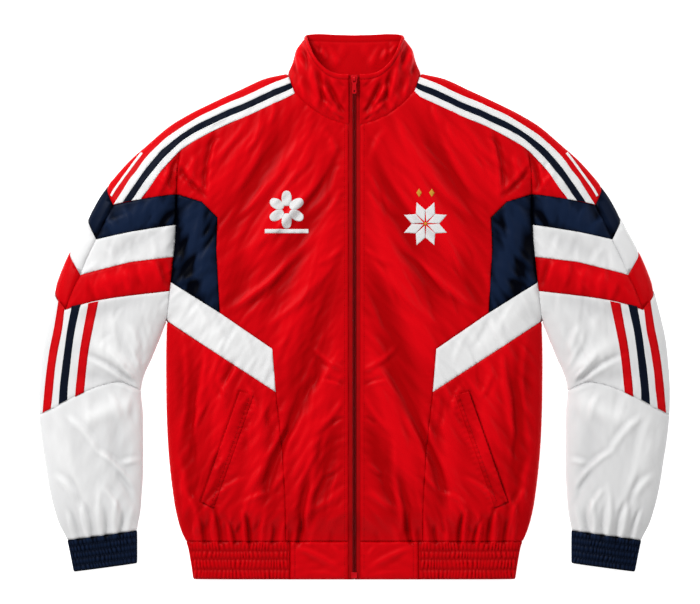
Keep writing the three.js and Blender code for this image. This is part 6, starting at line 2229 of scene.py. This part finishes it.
@dataclass
class Motif:
    """Plain embroidered ornament of several small patches on the chest."""

    name: str
    centre: Point2
    finish: Thread
    patches: list[list[Point2]]

    def build(self, side: Side, on_it: Sequence[bpy.types.Object] = (), sheet: bool = True) -> bpy.types.Object:
        """Sews the patches on one side of the chest.

        Args:
            side: wearer's side.
            on_it: pieces that belong to the ornament; not used.
            sheet: whether the patches' area is summed.

        Returns:
            The finished piece.
        """
        cx, cy = self.centre
        cuts = [[(cx + x, cy + y) for x, y in patch] for patch in self.patches]
        shape = bmesh.new()
        box = np.vstack([np.asarray(cut) for cut in cuts])
        for cut in cuts:
            patch = ClothPiece(self.name, BODY_LAYOUT, cut, self.finish, (1.7, 1.7), lift=0.55, seam=0.35)
            part = patch.pattern()
            flat = np.array([vert.co.xy for vert in part.verts])
            u, s = flat[:, 0], flat[:, 1]
            threads = 0.06 * np.cos(2 * math.pi * (u * 0.8 + s * 0.6) / 1.9)
            away = Chain(cut, closed=True).nearest(u, s)[0]
            points = BODY_LAYOUT.place(u, s, side, 0.5 + threads - 0.35 * np.exp(-((away / 0.6) ** 2)))
            ClothPiece.add_uv(part, flat)
            for vert, point in zip(part.verts, points):
                vert.co = point
            if side is Side.RIGHT:
                bmesh.ops.reverse_faces(part, faces=part.faces)
            mesh = mesh_from(part, "patch")
            shape.from_mesh(mesh)
            bpy.data.meshes.remove(mesh)
        mesh = bpy.data.meshes.new(self.name)
        shape.to_mesh(mesh)
        shape.free()
        piece = finish_object(self.name, mesh, self.finish)
        wall = piece.modifiers.new("wall", "SOLIDIFY")
        wall.thickness, wall.offset = 0.7 * MM, -1
        if sheet:
            area = sum(polygon_area(np.asarray(cut)) for cut in cuts)
        return piece


def petal(angle: float, inner: float, outer: float, half: float, blunt: float = 1.0) -> list[Point2]:
    """Leaf-shaped patch that points outwards.

    Args:
        angle: its direction, in radians.
        inner: distance of its near tip from the middle.
        outer: distance of its far tip.
        half: half its width.
        blunt: below 1 it is rounder, above 1 more pointed.

    Returns:
        Its outline.
    """
    along = np.linspace(0, math.pi, 13)
    first = np.column_stack([(inner + outer) / 2 - np.cos(along) * (outer - inner) / 2, half * np.sin(along) ** blunt])
    both = np.vstack([first, (first * (1, -1))[-2:0:-1]])
    turn = np.array([[math.cos(angle), math.sin(angle)], [-math.sin(angle), math.cos(angle)]])
    return [tuple(point) for point in both @ turn]


def diamond(angle: float, inner: float, outer: float, half: float, at: Point2 = (0.0, 0.0)) -> list[Point2]:
    """Diamond patch that points outwards from a place."""
    corners = np.array([(inner, 0), ((inner + outer) / 2, -half), (outer, 0), ((inner + outer) / 2, half)])
    turn = np.array([[math.cos(angle), math.sin(angle)], [-math.sin(angle), math.cos(angle)]])
    return [(float(x + at[0]), float(y + at[1])) for x, y in corners @ turn]


@dataclass
class Ornaments:
    """Plain patchwork ornaments in the places of the chest marks."""

    rosette_at: Point2 = (96.0, 138.0)
    star_at: Point2 = (101.0, 118.0)

    def build(self) -> list[bpy.types.Object]:
        """Sews both ornaments."""
        sixth = math.pi / 3
        petals = [petal(math.pi / 2 + i * sixth, 5.0, 27.0, 7.2, 0.8) for i in range(6)]
        bar = [[(-31.0, -33.5), (31.0, -33.5), (31.0, -27.5), (-31.0, -27.5)]]
        eighth = math.pi / 4
        points = [diamond(math.pi / 8 + i * eighth, 3.0, 33.0, 7.4) for i in range(8)]
        gold = [diamond(math.pi / 2, -6.0, 6.0, 4.0, (dx, 44.0)) for dx in (-9.0, 9.0)]
        middle = [[(2.4 * math.cos(a), 2.4 * math.sin(a)) for a in np.arange(8) * eighth]]
        small = Motif("ornament_gold", self.star_at, GOLD_THREAD, gold + middle).build(Side.LEFT, sheet=False)
        return [
            Motif("ornament_rosette", self.rosette_at, WHITE_THREAD, petals + bar).build(Side.RIGHT),
            Motif("ornament_star", self.star_at, WHITE_THREAD, points).build(Side.LEFT, [small]),
            small,
        ]


@dataclass
class Sewing:
    """Rows of stitches on both sides of the jacket."""

    lift: float = 0.12
    zip_row: float = 13.8

    def build(self, pieces: dict[str, ClothPiece]) -> list[bpy.types.Object]:
        """Sews the rows.

        Args:
            pieces: the cut pieces of one side, by name.

        Returns:
            One piece for each thread.
        """
        red, white, navy = (
            Stitching(name, thread)
            for name, thread in (
                ("stitches_red", RED_THREAD),
                ("stitches_white", WHITE_THREAD),
                ("stitches_navy", NAVY_THREAD),
            )
        )
        for side in Side:
            self.body_rows(red, side, pieces)
            self.collar_rows(red, side)
            for name in ("tape_upper", "tape_lower"):
                self.round_strip(white, pieces[name], side)
            for name in ("tape_middle", "stripe_middle"):
                self.round_strip(navy, pieces[name], side)
            for name in ("stripe_outer", "stripe_inner"):
                self.round_strip(red, pieces[name], side)
            layout = SLEEVE_LAYOUT
            cuff = pieces["cuff"]
            for s in cuff_rows()[1:-1]:
                span = float(layout.section(np.array([s]))["span"][0])
                u = np.arange(2, span - 1, 1.2)
                lift = cuff.extra(u, np.full(len(u), s), side) + self.lift
                navy.row(layout.place(u, np.full(len(u), s), side, lift), pitch=3.4)
        return [red.build(), white.build(), navy.build()]

    def body_rows(self, red: Stitching, side: Side, pieces: dict[str, ClothPiece]) -> None:
        """Rows beside the zip, round the welt and on the hem."""
        zip_run = [(self.zip_row, float(y)) for y in np.linspace(HEM_TOP + 1, 262, 180)]
        red.on_layout(BODY_LAYOUT, zip_run, side, self.lift)
        red.on_layout(BODY_LAYOUT, [(self.zip_row, HEM_TOP - 2), (self.zip_row, HEM_BOTTOM + 3)], side, 0.9)
        welt = inside_run(BODY_LAYOUT.from_plan(WELT), 5.4)
        red.on_layout(BODY_LAYOUT, welt[1:3], side, 1.3)
        for offset in (0.0, -7.0):
            run = [(TAB_SEAM + offset, HEM_TOP - 2), (TAB_SEAM + offset, HEM_BOTTOM + 2)]
            red.on_layout(BODY_LAYOUT, run, side, 0.5)
        elastic = HemElastic()
        for y in SHIRR_ROWS[1:-1]:
            fold = float(BODY_LAYOUT.fold_at(y))
            u = np.arange(TAB_HALF + 1, fold - 2, 1.2)
            s = np.full(len(u), y)
            red.row(BODY_LAYOUT.place(u, s, side, elastic.relief(u, s, side) + self.lift), pitch=3.4)

    def collar_rows(self, red: Stitching, side: Side) -> None:
        """Rows under the rim and above the neck seam."""
        layout = COLLAR_LAYOUT
        front = layout.back_from - 10
        for s in (layout.rise - 5.5, 4.6):
            red.on_layout(layout, [(2.0, s), (front, s)], side, self.lift - 0.3)

    def round_strip(self, thread: Stitching, strip: ClothPiece, side: Side) -> None:
        """Rows just inside a strip's edges."""
        run = inside_run(strip.outline, 1.5)
        thread.on_layout(strip.layout, run, side, strip.lift + self.lift, pitch=3.6)


@dataclass
class Studio:
    """White floor, soft even light and a camera that looks straight down."""

    aim: Point2 = (-0.0061, 0.0070)
    width: float = 0.994
    distance: float = 9.0
    sensor: float = 36.0
    floor: float = 8.0

    def build(self) -> None:
        """Makes the floor, lamps and camera."""
        shape = bmesh.new()
        bmesh.ops.create_grid(shape, x_segments=4, y_segments=4, size=self.floor)
        mesh = bpy.data.meshes.new("floor")
        shape.to_mesh(mesh)
        shape.free()
        floor = bpy.data.objects.new("floor", mesh)
        bpy.context.scene.collection.objects.link(floor)
        floor.data.materials.append(self.paper())
        self.lamp("key", (-1.7, 1.8, 2.1), 1.3, 90)
        self.lamp("side", (1.9, 1.0, 1.6), 1.4, 17)
        self.lamp("low", (-0.3, -2.1, 1.7), 1.6, 12)
        world = bpy.data.worlds.new("studio")
        world.use_nodes = True
        background = world.node_tree.nodes["Background"]
        background.inputs["Color"].default_value = (1.0, 1.0, 1.0, 1)
        background.inputs["Strength"].default_value = 0.22
        bpy.context.scene.world = world
        bpy.context.scene.view_settings.view_transform = "Standard"
        self.camera()

    @staticmethod
    def paper() -> bpy.types.Material:
        """Plain pale floor with a faint tooth."""
        shader = Shader("floor")
        where = shader.add("ShaderNodeTexCoord", {}, {}, "Object")
        tooth = shader.noise(where, 60, 3)
        return shader.finish(
            {
                "Base Color": shader.mix(tooth, (0.90, 0.90, 0.90), (0.93, 0.93, 0.93)),
                "Roughness": 0.9,
                "Specular IOR Level": 0.1,
                "Emission Color": (1.0, 1.0, 1.0, 1.0),
                "Emission Strength": 0.8,
                "Normal": shader.bump(tooth * 0.00005),
            }
        )

    @staticmethod
    def lamp(name: str, place: tuple[float, float, float], size: float, power: float) -> None:
        """Square softbox that faces the jacket."""
        data = bpy.data.lights.new(name, "AREA")
        data.shape, data.size, data.energy = "SQUARE", size, power
        lamp = bpy.data.objects.new(name, data)
        lamp.location = place
        lamp.rotation_euler = (-Vector(place)).to_track_quat("-Z", "Y").to_euler()
        bpy.context.scene.collection.objects.link(lamp)

    def camera(self) -> None:
        """Camera at the photo's angle."""
        data = bpy.data.cameras.new("camera")
        data.sensor_width = self.sensor
        data.lens = self.sensor * self.distance / self.width
        camera = bpy.data.objects.new("camera", data)
        camera.location = (*self.aim, self.distance + 0.02)
        bpy.context.scene.collection.objects.link(camera)
        bpy.context.scene.camera = camera


def cuff_rows() -> np.ndarray:
    """Places along the sleeve of the cuff's rows of stitches."""
    return np.linspace(SLEEVE_LAYOUT.cuff, SLEEVE_LAYOUT.end, CUFF_ROWS + 2)


def build_jacket() -> None:
    """Builds every part of the jacket."""
    body, sleeve = BodyPanels().pieces(), SleevePanels().pieces()
    for piece in body + sleeve:
        for side in Side:
            piece.build(side)
    BackPanel().build()
    HemElastic().piece().build()
    Collar().build()
    zipper = Zip()
    for side in Side:
        zipper.tape().build(side)
        zipper.coils(side)
    zipper.box()
    zipper.hard_part("zip_slider", "slider", BODY, 0.35)
    zipper.hard_part("zip_pull", "pull_tab", "pull", 0.3)
    Ornaments().build()
    Sewing().build({piece.name: piece for piece in body + sleeve})


def main() -> None:
    """Builds the jacket and its studio."""
    logging.basicConfig(level=logging.INFO, format="%(message)s")
    build_jacket()
    Studio().build()


if __name__ == "__main__":
    main()
